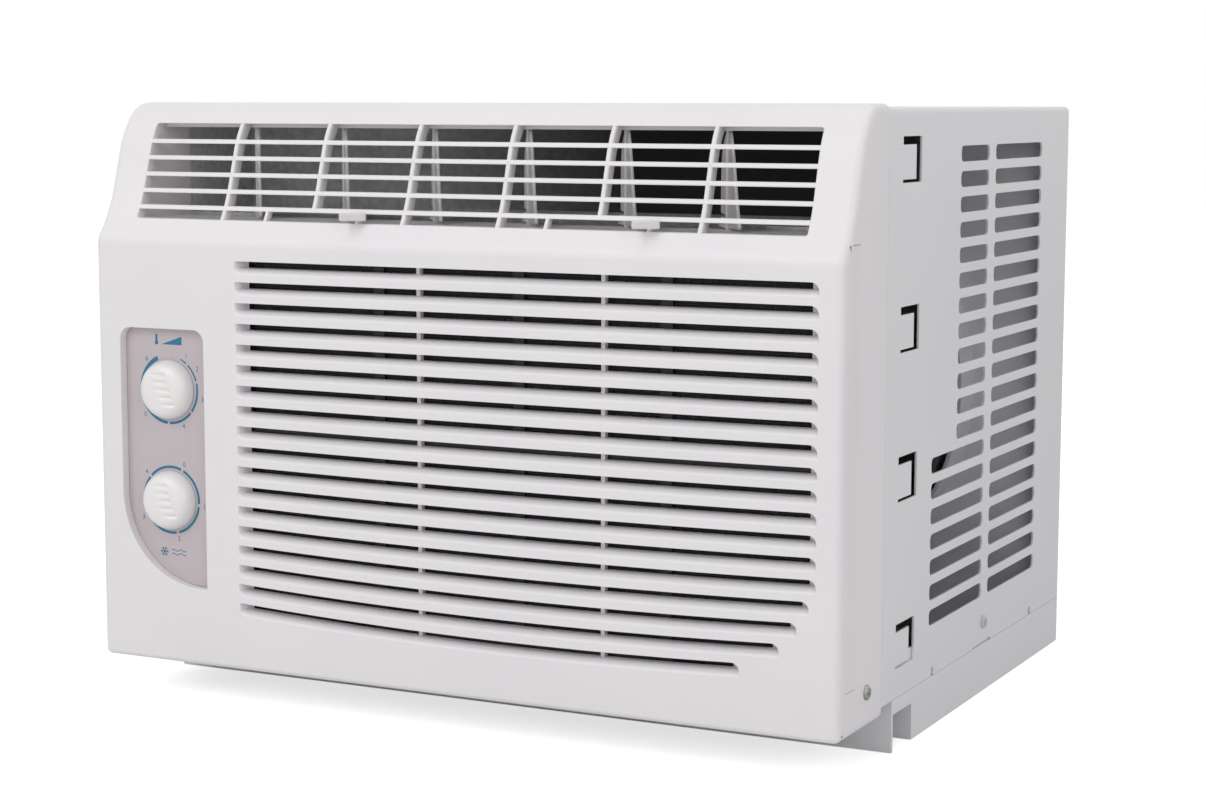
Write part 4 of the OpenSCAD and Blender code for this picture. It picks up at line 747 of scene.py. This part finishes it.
def number(text, x, z, size):
    """Adds one printed number, centred on (x, z), as a flat mesh on the fascia."""
    curve = bpy.data.curves.new("number", "FONT")
    curve.body, curve.size, curve.align_x, curve.align_y = text, size * MM, "CENTER", "CENTER"
    letter = bpy.data.objects.new("number", curve)
    bpy.context.scene.collection.objects.link(letter)
    bpy.context.view_layer.update()
    mesh = bpy.data.meshes.new_from_object(letter.evaluated_get(bpy.context.evaluated_depsgraph_get()))
    mesh.transform(Matrix.Translation(np.array((x, front_y + fascia_face - 0.05, z)) * MM)
                   @ Matrix.Rotation(math.pi / 2, 4, "X"))
    bpy.data.objects.remove(letter)
    bpy.data.curves.remove(curve)
    return mesh


digits = bmesh.new()
for cz, reach, first, angles in ((upper_dial, 20.6, 1, (31, 57, 102, 156, 228, 318)),
                                 (lower_dial, 20.4, 0, (24, 96, 168, 240, 312))):
    for i, a in enumerate(np.radians(angles)):
        digits.from_mesh(number(str(first + i), dial_x + reach * math.sin(a), cz + 20.2 * math.cos(a), 3.4))
digit_mesh = bpy.data.meshes.new("dial_numbers")
digits.to_mesh(digit_mesh)
digits.free()
piece("dial_numbers", digit_mesh, ink, "housing")


# ---- the two knobs ------------------------------------------------------------------
# Round knobs of glossy white ABS, pushed on their shafts. Five finger grooves cross the dome,
# shallow at their left ends and deep at the right.

knob_r, knob_rise = 15.0, 9.0
knob_abs = moulded("white_abs_polished", "#efedec", "#e9e6e6", 0.3, 0.8, 0.08)


def knob_height(u, w):
    """Dome (8.9 - 1.3 (r/14)^2) sqrt(1 - (r/15)^7) less five grooves with the section
    exp(-(w/0.85)^2), which deepen to 1.15 along 12 mm and end in a short rise."""
    r = np.hypot(u, w)
    h = (knob_rise - 0.1 - 1.3 * (r / 14) ** 2) * np.sqrt(np.clip(1 - (r / knob_r) ** 7, 0, 1))
    for i in range(5):
        t = np.clip((u - (-8.6 + 1.35 * i)) / 12.2, 0, 1)
        deep = t * t * (3 - 2 * t) * np.clip((1 - t) / 0.12, 0, 1) ** 0.6
        h = h - 1.15 * deep * np.exp(-((w - (8.0 - 3.75 * i)) / 0.85) ** 2)
    return h


knob_back, hub_r, hub_end = fascia_face - 0.3, 3.6, fascia_face - 5
for name, node, body, cz in (("temperature_knob_cap", "temperature_knob", "temperature_dial", upper_dial),
                             ("mode_knob_cap", "mode_knob", "mode_dial", lower_dial)):
    r = np.concatenate([np.linspace(0, 12.9, 44), knob_r - 2.1 * (1 - np.sin(np.radians(np.linspace(3, 90, 16))))])
    a = np.radians(np.linspace(0, 360, 121))
    u, w = np.outer(r, np.cos(a)), np.outer(r, np.sin(a))
    h = knob_height(u, w)
    top = np.stack([dial_x + u, front_y + knob_back - h, cz + w], -1)
    e = 0.02
    slope_u = (knob_height(u + e, w) - knob_height(u - e, w)) / (2 * e)
    slope_w = (knob_height(u, w + e) - knob_height(u, w - e)) / (2 * e)
    n = unit(np.stack([-slope_u, -np.ones_like(h), -slope_w], -1))
    n[-1] = np.stack([np.cos(a), 0 * a, np.sin(a)], -1)
    back = arc(dial_x, cz, knob_r, 0, 360, 120)[:-1]
    hub = arc(dial_x, cz, hub_r, 0, 360, 24)[:-1]
    skin = [oriented(top, n), flat_sheet(back, [hub], front_plane(knob_back), (0, 1, 0)),
            ruled(front_plane(knob_back)(hub), front_plane(hub_end)(hub), -1),
            flat_sheet(hub, [], front_plane(hub_end), (0, 1, 0))]
    cap = moulding(name, skin, knob_abs, body)
    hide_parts(node)


# ---- air vanes ----------------------------------------------------------------------
# Six blades of light grey polypropylene on upright pins behind the grille, with a front edge
# that follows the S of the discharge face. Two of them carry a finger tab on a long arm.

vane_depth, vane_turn, vane_low, vane_high = 40.0, 36.5, 246.0, 290.0
vane_pp = moulded("light_grey_polypropylene", "#dcdbd9", "#d4d3d1", 0.42, 0.7, 0.15, 1.49)


def shrink(loop, g):
    """A closed 2D outline moved inwards by g along its own normals."""
    t = unit(np.roll(loop, -1, 0) - np.roll(loop, 1, 0), 1e-9)
    area = np.sum(loop[:, 0] * np.roll(loop[:, 1], -1) - np.roll(loop[:, 0], -1) * loop[:, 1])
    return loop + g * np.sign(area) * np.stack([-t[:, 1], t[:, 0]], 1)


def soft_plate(outline, half, radius, place):
    """A plate with a round rim: the outline is shrunk by radius (1 - cos t) at the height
    half - radius (1 - sin t) on both sides, and closed by two flats. place maps
    (outline points, height) to space."""
    lines = []
    for side, turns in ((-1, np.linspace(90, 0, 4)), (1, np.linspace(0, 90, 4))):
        for t in np.radians(turns):
            lines.append(place(shrink(outline, radius * (1 - math.cos(t))), side * (half - radius * (1 - math.sin(t)))))
    lines = [line for i, line in enumerate(lines) if i == 0 or np.abs(line - lines[i - 1]).max() > 1e-6]
    patches = closed_tube(np.array(lines), caps=False)
    for height in (-half, half):
        away = unit(place(np.zeros((1, 2)), height)[0] - place(np.zeros((1, 2)), 0)[0])
        patches.append(flat_sheet(shrink(outline, radius), [], lambda p: place(p, height), away))
    return patches


def vane_parts(x, lever):
    """One blade with its pins, crank and, on a leading vane, its arm and tab."""
    turn = math.radians(vane_turn)
    ca, sa = math.cos(turn), math.sin(turn)

    def turned(p):
        return np.stack([x + p[..., 0] * ca - p[..., 1] * sa,
                         front_y + vane_depth + p[..., 0] * sa + p[..., 1] * ca, p[..., 2]], -1)

    def upright_plate(loop, z0, z1, radius):
        """A level soft plate that fills z0 to z1."""
        return soft_plate(loop, (z1 - z0) / 2, radius, lambda p, h: turned(
            np.stack([p[:, 0], p[:, 1], np.full(len(p), (z0 + z1) / 2 + h)], 1)))

    def post(cy, r, z0, z1, n=14):
        return upright_plate(arc(0, cy, r, 0, 360, n)[:-1], z0, z1, min(0.4, r / 3))

    def bar(half, y0, y1, z0, z1, r):
        loop = round_rect(-half, half, y0, y1, min(r * 1.6, half * 0.9, (y1 - y0) * 0.45), 4)
        return upright_plate(loop, z0, z1, min(r, (z1 - z0) * 0.4))
    nose_z = np.linspace(vane_low, vane_high, 12)
    nose = np.interp(nose_z, [246, 253, 261, 270, 280, 290], [-24.7, -20.5, -16.8, -13.6, -9.8, -4.6])
    rear = [(4, vane_low), (4, 252), (13, 252), (13, 271), (11.6, 280), (7.4, 286.8), (2.2, 289.8)]
    outline = soft_outline(np.concatenate([rear, np.stack([nose, nose_z], 1)[::-1]]),
                           [1, 1, 1, 6, 6, 6, 4] + [1.5] * 11 + [3.0], 4)
    patches = soft_plate(outline, 0.8, 0.6, lambda p, h: turned(np.stack([np.full(len(p), h), p[:, 0], p[:, 1]], 1)))
    patches += post(0, 1.3, vane_low, 289, 20) + post(0, 1.5, 242.8, 293.2)
    patches += bar(2, 0, 13, vane_low, 247.5, 0.4) + post(11, 1.2, vane_low, 250.6)
    if lever:
        patches += bar(1, -46, 0, 246.4, 249, 0.5) + bar(6.5, -48.5, -44.5, 246.5, 250.5, 0.9)
    return patches


for i in range(6):
    vane = moulding("air_vane_blade_%d" % (i + 1), vane_parts(rib_places[i], i % 3 == 1), vane_pp,
                    "air_vane_%d" % (i + 1))
    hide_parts("vane_%d" % (i + 1))
dress(vane_pp, "left_tie_bar", "right_tie_bar")


# ---- cabinet ------------------------------------------------------------------------
# A wrap of 1 mm galvanised sheet, powder-coated white and folded over both top corners. It has
# punched side vents, lanced tabs for the curtain frames, and a rear edge turned in by 12 mm.

cab_half, cab_top, cab_low, cab_front, cab_rear = 203.0, 301.4, 25.2, 53.7, 342.0
sheet_t, cab_corner = 1.0, 3.0

powder, tree, place = new_finish("white_powder_coat")
peel = add(tree, "ShaderNodeTexNoise", {"Vector": place, "Scale": 1 / 0.0025, "Detail": 2.0})
wave = add(tree, "ShaderNodeTexNoise", {"Vector": place, "Scale": 1 / 0.09, "Detail": 2.0})
tone = add(tree, "ShaderNodeMixRGB", {"Fac": wave.outputs["Fac"], "Color1": srgb("#e6e6e8"), "Color2": srgb("#dfdfe2")})
gloss = add(tree, "ShaderNodeMapRange", {"Value": peel.outputs["Fac"], "To Min": 0.33, "To Max": 0.43})
soft = add(tree, "ShaderNodeBump", {"Height": wave.outputs["Fac"], "Strength": 0.1, "Distance": 0.001})
lift = add(tree, "ShaderNodeBump", {"Height": peel.outputs["Fac"], "Strength": 0.18, "Distance": 0.0002,
                                    "Normal": soft.outputs[0]})
shader = add(tree, "ShaderNodeBsdfPrincipled", {"Base Color": tone.outputs[0],
                                                "Roughness": gloss.outputs[0], "IOR": 1.5, "Normal": lift.outputs[0]})
add(tree, "ShaderNodeOutputMaterial", {"Surface": shader.outputs[0]})

# The sheet is cut flat in (girth, depth), girth 0 at the middle of the top, and then wrapped
quarter = cab_corner * math.pi / 2
flat_top = cab_half - cab_corner
side_start = flat_top + quarter
girth_end = side_start + (cab_top - cab_corner - cab_low)


def wrapped(p, sunk):
    """Sheet point (girth, depth) to space: level over the top, a quarter circle of radius 3,
    then down the side. Also gives the outward normal."""
    g, side = np.abs(p[:, 0]), np.sign(p[:, 0])
    t = np.clip((g - flat_top) / cab_corner, 0, math.pi / 2)
    down = np.maximum(g - side_start, 0)
    x = np.minimum(g, flat_top) + (cab_corner - sunk) * np.sin(t)
    z = cab_top - cab_corner + (cab_corner - sunk) * np.cos(t) - down
    return (np.stack([side * x, front_y + p[:, 1], z], 1), np.stack([side * np.sin(t), 0 * t, np.cos(t)], 1))


def down_to(z):
    """Girth of height z on the side."""
    return side_start + cab_top - cab_corner - z


def side_cut(side, loop):
    """A (depth, z) loop on one side turned to (girth, depth)."""
    return np.stack([side * down_to(loop[:, 1]), loop[:, 0]], 1)


# Nineteen rows of vents in two columns, of which the front one reaches further forward lower down
vent_first, vent_pitch, vent_high, screw_z = 282.6, 12.45, 7.8, 36.7
vents = [(d0, d1, z - vent_high, z) for k, z in enumerate(vent_first - vent_pitch * np.arange(19))
         for d0, d1 in ((211, 292), (156 if k < 12 else 119, 200.5))]
lance_heights = [266.8, 188.4, 118.5, 39.2]
lance = np.array([(72, 0), (97.5, 0), (97.5, 21.3), (72, 21.3), (72, 17.5), (90, 17.5), (90, 1.5), (72, 1.5)])
cuts = []
for side in (-1, 1):
    cuts += [side_cut(side, round_rect(*vent, 2.8, 4)) for vent in vents]
    cuts += [side_cut(side, lance + [0, z]) for z in lance_heights]
    cuts.append(side_cut(side, arc(205, screw_z, 2.1, 0, 360, 16)[:-1]))
# Four holes along the front of the top
cuts += [arc(x, 63.5, 2.1, 0, 360, 16)[:-1] for x in (-135, -45, 45, 135)]


def lower_edge(side):
    """Lower edge of one side, from front to rear, with two keyhole notches and a shallow step."""
    front_notch, rear_notch = ([(d - 2, cab_low), *arc(d, cab_low + 2, 2.5, 216.9, -36.9, 12), (d + 2, cab_low)]
                               for d in (125.5, 287.3))
    step = [(188, cab_low), (188, cab_low + 1.4), (218, cab_low + 1.4), (218, cab_low)]
    return side_cut(side, np.array([(cab_front, cab_low), *front_notch, *step, *rear_notch, (cab_rear, cab_low)]))


rim = np.concatenate([lower_edge(1), lower_edge(-1)[::-1]])
folds = [np.array([(g, cab_front), (g, cab_rear)]) for s in (-1, 1) for g in s * np.linspace(flat_top, side_start, 7)]
sheet, cells = cut_sheet(rim, cuts, folds)
skin = [facing(sheet, cells, lambda p: wrapped(p, 0)),
        facing(sheet, cells, lambda p: (wrapped(p, sheet_t)[0], -wrapped(p, sheet_t)[1]))]


def cut_edge(line, want=None):
    """The sheet's edge along a closed cut, or, where want is given, along an open line that faces it."""
    outer, inner = wrapped(line, 0)[0], wrapped(line, sheet_t)[0]
    if want is None:
        return ruled(outer, inner, -1)
    points, normals, faces = ruled(outer, inner, 1, closed=False)
    if (normals @ np.array(want)).sum() < 0:
        return points, -normals, [f[::-1] for f in faces]
    return points, normals, faces


skin += [cut_edge(loop) for loop in cuts]
steps = np.concatenate([np.linspace(-side_start, -flat_top, 7), np.linspace(flat_top, side_start, 7)])
for d, y in ((cab_front, -1.0), (cab_rear, 1.0)):
    skin.append(cut_edge(np.stack([np.concatenate([[-girth_end], steps, [girth_end]]), np.full(16, d)], 1), (0, y, 0)))
skin += [cut_edge(lower_edge(side), (0, 0, -1.0)) for side in (-1, 1)]

# Rear edge turned in, and the tongue that slips inside the panel
turn_in, turn_corner = 12, 2.6
bend_x, bend_z = cab_half - cab_corner, cab_top - cab_corner
lip = np.array([(-cab_half + turn_in, cab_low), (-cab_half + turn_in, cab_top - turn_in),
                (cab_half - turn_in, cab_top - turn_in), (cab_half - turn_in, cab_low)], float)
arch = np.concatenate([[(bend_x + turn_corner, cab_low)], arc(bend_x, bend_z, turn_corner, 0, 90, 5),
                       arc(-bend_x, bend_z, turn_corner, 90, 180, 5), [(-bend_x - turn_corner, cab_low)], lip])
skin.append(flat_sheet(arch, [], front_plane(cab_rear), (0, 1, 0)))
skin.append(flat_sheet(arch, [], front_plane(cab_rear - sheet_t), (0, -1, 0)))
skin.append(ruled(front_plane(cab_rear)(lip), front_plane(cab_rear - sheet_t)(lip), -1, closed=False))
for side in (-1, 1):
    skin += block(*sorted((side * 199.3, side * 200.3)), 42, 54.4, 49.2, 296)
skin += block(-196, 196, 50.6, 54.4, 299.3, 300.3)

cabinet = moulding("cabinet_wrap", skin, powder, "housing")
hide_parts("cabinet")
dress(powder, "base_pan", "fan_shroud")


# ---- air filter ---------------------------------------------------------------------
# A white polypropylene frame with a woven net welded in, painted near-black everywhere but its end bar:
# this is painted shade for the gaps behind the intake slots. It slides out to the right behind the intake
# slots, and its white end bar closes the slot in the side wall.

frame_pp_painted_shade = moulded("filter_frame_pp_painted_slot_shade", "#e9e6e7", "#e3e0e2", 0.45, 0.7, 0.15, 1.49)
tree = frame_pp_painted_shade.node_tree
shader = tree.nodes["Principled BSDF"]
axes = add(tree, "ShaderNodeSeparateXYZ", {0: tree.nodes["Texture Coordinate"].outputs["Object"]})
end_bar_x = 0.1998
# Painted shade: at or below the end bar's X the frame takes near-black #242628 in place of its white, so the slots'
# gaps read as shade.
outer = add(tree, "ShaderNodeMath", {0: axes.outputs["X"], 1: end_bar_x}, operation="GREATER_THAN")
tone = add(tree, "ShaderNodeMixRGB", {"Fac": outer.outputs[0], "Color1": srgb("#242628"),
                                      "Color2": shader.inputs["Base Color"].links[0].from_socket})
tree.links.new(tone.outputs[0], shader.inputs["Base Color"])
dress(frame_pp_painted_shade, "filter_frame")

net, tree, place = new_finish("woven_nylon_net")
axes = add(tree, "ShaderNodeSeparateXYZ", {0: place})
# Threads 1.2 mm apart both ways, drawn as ridges; the meshes between them are dark
threads = []
for axis in ("X", "Z"):
    phase = add(tree, "ShaderNodeMath", {0: axes.outputs[axis], 1: 2 * math.pi / 0.0012}, operation="MULTIPLY")
    ridge = add(tree, "ShaderNodeMath", {0: phase.outputs[0]}, operation="COSINE")
    threads.append(ridge)
high = add(tree, "ShaderNodeMath", {0: threads[0].outputs[0], 1: threads[1].outputs[0]}, operation="MAXIMUM")
cover = add(tree, "ShaderNodeMapRange", {"Value": high.outputs[0], "From Min": 0.2, "From Max": 0.8})
tone = add(tree, "ShaderNodeMixRGB", {"Fac": cover.outputs[0], "Color1": srgb("#0d0e0f"), "Color2": srgb("#3c3f42")})
lift = add(tree, "ShaderNodeBump", {"Height": high.outputs[0], "Strength": 0.5, "Distance": 0.0003})
shader = add(tree, "ShaderNodeBsdfPrincipled", {"Base Color": tone.outputs[0],
                                                "Roughness": 0.6, "Normal": lift.outputs[0]})
add(tree, "ShaderNodeOutputMaterial", {"Surface": shader.outputs[0]})
dress(net, "filter_mesh")


# ---- coils --------------------------------------------------------------------------
# Two coils of copper hairpins pressed through thin corrugated aluminium fins, between end
# plates of galvanised steel. The evaporator sits behind the filter, the condenser at the rear.


def worn_metal(name, light, dark, roughness, spread, grain_mm, bump, metallic=1.0):
    """A bare metal: two tones and the gloss vary with noise of grain_mm."""
    material, tree, place = new_finish(name)
    patch = add(tree, "ShaderNodeTexNoise", {"Vector": place, "Scale": 1000 / grain_mm, "Detail": 4.0})
    tone = add(tree, "ShaderNodeMixRGB", {"Fac": patch.outputs["Fac"], "Color1": srgb(dark), "Color2": srgb(light)})
    gloss = add(tree, "ShaderNodeMapRange", {"Value": patch.outputs["Fac"], "To Min": roughness + spread,
                                             "To Max": roughness - spread})
    lift = add(tree, "ShaderNodeBump", {"Height": patch.outputs["Fac"],
                                        "Strength": bump, "Distance": grain_mm * 0.0001})
    shader = add(tree, "ShaderNodeBsdfPrincipled", {"Base Color": tone.outputs[0], "Metallic": metallic,
                                                    "Roughness": gloss.outputs[0], "Normal": lift.outputs[0]})
    add(tree, "ShaderNodeOutputMaterial", {"Surface": shader.outputs[0]})
    return material


fin_metal = worn_metal("rolled_aluminium_fin", "#d9dadb", "#b9bbbd", 0.38, 0.08, 5.0, 0.1)
copper = worn_metal("drawn_copper_tube", "#c87f56", "#8d4d33", 0.3, 0.1, 14.0, 0.15)


def fin_pack(name, node, pitch):
    """A stack of corrugated fins that fills the box of the CAD block: each is a strip with
    x = 0.35 cos(2 pi y / 6.35), 0.12 mm thick, upright, with a few dozen faces."""
    low, high = (1000 * np.array(c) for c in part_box(node))
    places = np.arange(low[0] + pitch / 2, high[0], pitch)
    y = np.linspace(low[1], high[1], 9)
    shift = 0.35 * np.cos(2 * math.pi * (y - low[1]) / 6.35)
    ring = np.concatenate([np.stack([shift - 0.06, y], 1), np.stack([shift + 0.06, y], 1)[::-1]])
    k = len(ring)
    points = np.zeros((len(places), 2, k, 3))
    points[..., 0] = places[:, None, None] + ring[:, 0]
    points[..., 1] = ring[:, 1]
    points[..., 2] = np.array([low[2], high[2]])[None, :, None]
    i = np.arange(k)
    side = np.stack([i, i + k, (i + 1) % k + k, (i + 1) % k], 1)
    j = np.arange(len(y) - 1)
    cap = np.stack([j, j + 1, k - 2 - j, k - 1 - j], 1)
    one = np.concatenate([side, cap, cap[:, ::-1] + k])
    faces = (np.arange(len(places))[:, None, None] * 2 * k + one).reshape(-1, 4)
    mesh = bpy.data.meshes.new(name)
    mesh.from_pydata((points.reshape(-1, 3) * MM).tolist(), [], faces.tolist())
    stack = piece(name, mesh, fin_metal, "housing")
    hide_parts(node)


fin_pack("evaporator_fin_stack", "evaporator_fins", 1.7)
fin_pack("condenser_fin_stack", "condenser_fins", 1.7)
dress(copper, "evaporator_tubes", "condenser_tubes", "discharge_pipe", "suction_pipe", "liquid_pipe",
      "capillary_tube", "filter_drier", "sensing_bulb")


# ---- galvanised sheet inside ---------------------------------------------------------
# Bulkhead, end plates, motor bracket, clamp and control box are folded from hot-dip
# galvanised sheet, which shows a pale spangle with crystals of 8 to 12 mm.

zinc, tree, place = new_finish("galvanised_sheet_spangle")
crystals = add(tree, "ShaderNodeTexVoronoi", {"Vector": place, "Scale": 100.0})
grey = add(tree, "ShaderNodeSeparateColor", {0: crystals.outputs["Color"]})
tone = add(tree, "ShaderNodeMixRGB", {"Fac": grey.outputs[0], "Color1": srgb("#aaadb0"), "Color2": srgb("#cdd0d2")})
gloss = add(tree, "ShaderNodeMapRange", {"Value": grey.outputs[1], "To Min": 0.35, "To Max": 0.55})
lift = add(tree, "ShaderNodeBump", {"Height": crystals.outputs["Distance"], "Strength": 0.08, "Distance": 0.0004})
shader = add(tree, "ShaderNodeBsdfPrincipled", {"Base Color": tone.outputs[0], "Metallic": 0.85,
                                                "Roughness": gloss.outputs[0], "Normal": lift.outputs[0]})
add(tree, "ShaderNodeOutputMaterial", {"Surface": shader.outputs[0]})
dress(zinc, "bulkhead", "evaporator_end_plates", "condenser_end_plates", "motor_bracket", "control_box",
      "capacitor_clamp")


# ---- blower housing -------------------------------------------------------------------
# Scroll and inlet ring guide the room air. The scroll is pressed from expanded polystyrene beads
# of 4 mm; above the discharge duct's floor a painted shade darkens its skin from left to right,
# standing in for the shade in the duct's right-hand bays, while the floor keeps the pale bead tone.
# Ring, wheel and fan are black and grey moulded plastic.

foam, tree, place = new_finish("expanded_polystyrene_painted_shade")
beads = add(tree, "ShaderNodeTexVoronoi", {"Vector": place, "Scale": 250.0})
axes = add(tree, "ShaderNodeSeparateXYZ", {0: place})
# Painted shade: above the duct's floor the skin goes from its pale bead tone at X -0.08 to near-black #3a3b3c at X
# 0.05.
painted_shade = add(tree, "ShaderNodeMapRange", {"Value": axes.outputs["X"], "From Min": -0.08, "From Max": 0.05})
pale = add(tree, "ShaderNodeMixRGB", {"Fac": beads.outputs["Distance"],
                                      "Color1": srgb("#d9dadb"), "Color2": srgb("#b9bbbc")})
duct_floor = 0.2485
in_duct = add(tree, "ShaderNodeMath", {0: axes.outputs["Z"], 1: duct_floor}, operation="GREATER_THAN")
painted_shade = add(tree, "ShaderNodeMath", {0: painted_shade.outputs[0], 1: in_duct.outputs[0]}, operation="MULTIPLY")
tone = add(tree, "ShaderNodeMixRGB", {"Fac": painted_shade.outputs[0], "Color1": pale.outputs[0], "Color2": srgb("#3a3b3c")})
lift = add(tree, "ShaderNodeBump", {"Height": beads.outputs["Distance"], "Strength": 0.3, "Distance": -0.0004})
shader = add(tree, "ShaderNodeBsdfPrincipled", {"Base Color": tone.outputs[0],
                                                "Roughness": 0.75, "Normal": lift.outputs[0]})
add(tree, "ShaderNodeOutputMaterial", {"Surface": shader.outputs[0]})
dress(foam, "scroll_housing", "drip_tray")
black_pp = moulded("black_polypropylene", "#1d1e20", "#17181a", 0.42, 0.8, 0.2, 1.49)
dress(black_pp, "blower_wheel", "blower_inlet_ring", "terminal_cover")
dress(moulded("mid_grey_glass_filled_plastic", "#6a6d70", "#5c5f62", 0.5, 0.6, 0.3, 1.5), "condenser_fan")


# ---- motor ----------------------------------------------------------------------------
# A two-ended motor in a drawn steel can with a grey enamel coat, on a ground steel shaft; the
# fan is held by a plated nut.

motor_coat, tree, place = new_finish("grey_baked_enamel_can")
orange = add(tree, "ShaderNodeTexNoise", {"Vector": place, "Scale": 500.0, "Detail": 2.0})
tone = add(tree, "ShaderNodeMixRGB", {"Fac": orange.outputs["Fac"],
                                      "Color1": srgb("#46494c"), "Color2": srgb("#54575a")})
lift = add(tree, "ShaderNodeBump", {"Height": orange.outputs["Fac"], "Strength": 0.2, "Distance": 0.0002})
shader = add(tree, "ShaderNodeBsdfPrincipled", {"Base Color": tone.outputs[0],
                                                "Roughness": 0.35, "Normal": lift.outputs[0]})
add(tree, "ShaderNodeOutputMaterial", {"Surface": shader.outputs[0]})
dress(motor_coat, "fan_motor")
steel = worn_metal("bright_ground_steel", "#c9cbcd", "#a9abad", 0.28, 0.06, 3.0, 0.05)
dress(steel, "motor_shaft", "fan_nut", "compressor_studs", "thermostat_shaft",
      "mode_switch_shaft")


# ---- compressor -------------------------------------------------------------------------
# A rotary compressor in a welded steel shell under black enamel, with its accumulator, stands
# on three rubber feet.

shell_enamel, tree, place = new_finish("black_gloss_enamel")
dust = add(tree, "ShaderNodeTexNoise", {"Vector": place, "Scale": 60.0, "Detail": 5.0})
tone = add(tree, "ShaderNodeMixRGB", {"Fac": dust.outputs["Fac"], "Color1": srgb("#101113"), "Color2": srgb("#1e1f22")})
gloss = add(tree, "ShaderNodeMapRange", {"Value": dust.outputs["Fac"], "To Min": 0.2, "To Max": 0.42})
shader = add(tree, "ShaderNodeBsdfPrincipled", {"Base Color": tone.outputs[0], "Roughness": gloss.outputs[0]})
add(tree, "ShaderNodeOutputMaterial", {"Surface": shader.outputs[0]})
dress(shell_enamel, "compressor", "accumulator")
rubber = moulded("black_neoprene_rubber", "#1a1a1b", "#131314", 0.7, 0.5, 0.4, 1.52)
dress(rubber, "compressor_grommets", "cord_grommet")


# ---- seals and electrical parts -----------------------------------------------------------
# Foam strip, phenolic switch bodies, the wiring in its black sleeve and the capacitor's can.

strip, tree, place = new_finish("closed_cell_foam_strip")
pores = add(tree, "ShaderNodeTexVoronoi", {"Vector": place, "Scale": 900.0})
tone = add(tree, "ShaderNodeMixRGB", {"Fac": pores.outputs["Distance"],
                                      "Color1": srgb("#232425"), "Color2": srgb("#3a3b3c")})
lift = add(tree, "ShaderNodeBump", {"Height": pores.outputs["Distance"], "Strength": 0.6, "Distance": 0.0004})
shader = add(tree, "ShaderNodeBsdfPrincipled", {"Base Color": tone.outputs[0],
                                                "Roughness": 0.85, "Normal": lift.outputs[0]})
add(tree, "ShaderNodeOutputMaterial", {"Surface": shader.outputs[0]})
dress(strip, "top_seal")
dress(moulded("brown_phenolic_resin", "#4a2c1c", "#3c2216", 0.4, 1.2, 0.2, 1.6), "mode_switch_body", "thermostat_body")
sleeve, tree, place = new_finish("braided_black_sleeve")
weave = add(tree, "ShaderNodeTexWave", {"Vector": place, "Scale": 160.0, "Distortion": 2.0}, bands_direction="DIAGONAL")
tone = add(tree, "ShaderNodeMixRGB", {"Fac": weave.outputs["Fac"],
                                      "Color1": srgb("#121213"), "Color2": srgb("#2c2d2f")})
lift = add(tree, "ShaderNodeBump", {"Height": weave.outputs["Fac"], "Strength": 0.5, "Distance": 0.0003})
shader = add(tree, "ShaderNodeBsdfPrincipled", {"Base Color": tone.outputs[0],
                                                "Roughness": 0.6, "Normal": lift.outputs[0]})
add(tree, "ShaderNodeOutputMaterial", {"Surface": shader.outputs[0]})
dress(sleeve, "wiring_loom")
dress(worn_metal("drawn_aluminium_can", "#d5d6d7", "#bfc1c2", 0.33, 0.05, 8.0, 0.08), "run_capacitor")


# ---- screws -------------------------------------------------------------------------------
# Zinc-plated pan heads with a cross recess: two hold the panel, two the cabinet.

plating = worn_metal("zinc_plated_steel", "#b5b5b0", "#8a8a86", 0.35, 0.08, 1.5, 0.1)
painted_head = moulded("painted_screw_head", "#cfcfd1", "#c2c2c5", 0.45, 0.8, 0.2, 1.5)


def screw_head(depth, z, side, seat_x):
    """A pan head of radius 3.6 on its shank: height 1.7 sqrt(1 - (r/3.6)^3) less a cross 1.1 deep,
    whole where |u| or |w| is under 0.44 and r under 1.8, and gone at 0.62 and at 2.3."""
    r = np.concatenate([np.linspace(0, 3.3, 24), 3.6 - 0.3 * (1 - np.sin(np.radians(np.linspace(10, 90, 6))))])
    a = np.radians(np.linspace(0, 360, 97))
    u, w = np.outer(r, np.cos(a)), np.outer(r, np.sin(a))
    reach = np.clip((2.3 - np.hypot(u, w)) / 0.5, 0, 1)
    arm = np.clip((0.62 - np.minimum(np.abs(u), np.abs(w))) / 0.18, 0, 1)
    h = 1.7 * np.sqrt(np.clip(1 - (np.hypot(u, w) / 3.6) ** 3, 0, 1)) - 1.1 * reach * arm
    points = np.stack([side * (seat_x + h), front_y + depth + u, z + w], -1)
    n = across_grid(points)
    n = np.where(n[..., :1] * side < 0, -n, n)
    n[0] = (side, 0, 0)
    n[-1] = np.stack([0 * a, np.cos(a), np.sin(a)], -1)
    shank = arc(0, 0, 1.8, 0, 360, 16)[:-1]
    rim = arc(0, 0, 3.6, 0, 360, 96)[:-1]

    def flat(p, x):
        return np.stack([np.full(len(p), side * x), front_y + depth + p[:, 0], z + p[:, 1]], 1)
    return [oriented(points, n), flat_sheet(rim, [shank], lambda p: flat(p, seat_x), (-side, 0, 0)),
            ruled(flat(shank, seat_x), flat(shank, seat_x - 8), 1),
            flat_sheet(shank, [], lambda p: flat(p, seat_x - 8), (-side, 0, 0))]


for name, node, depth, finish in (("panel_screw_heads", "panel_screws", 33.7, plating),
                                  ("cabinet_screw_heads", "cabinet_screws", 205.0, painted_head)):
    seat_x = 1000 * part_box(node)[1][0] - 1.8
    heads = moulding(name, [part for side in (-1, 1) for part in screw_head(depth, screw_z, side, seat_x)],
                     finish, "housing")
    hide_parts(node)
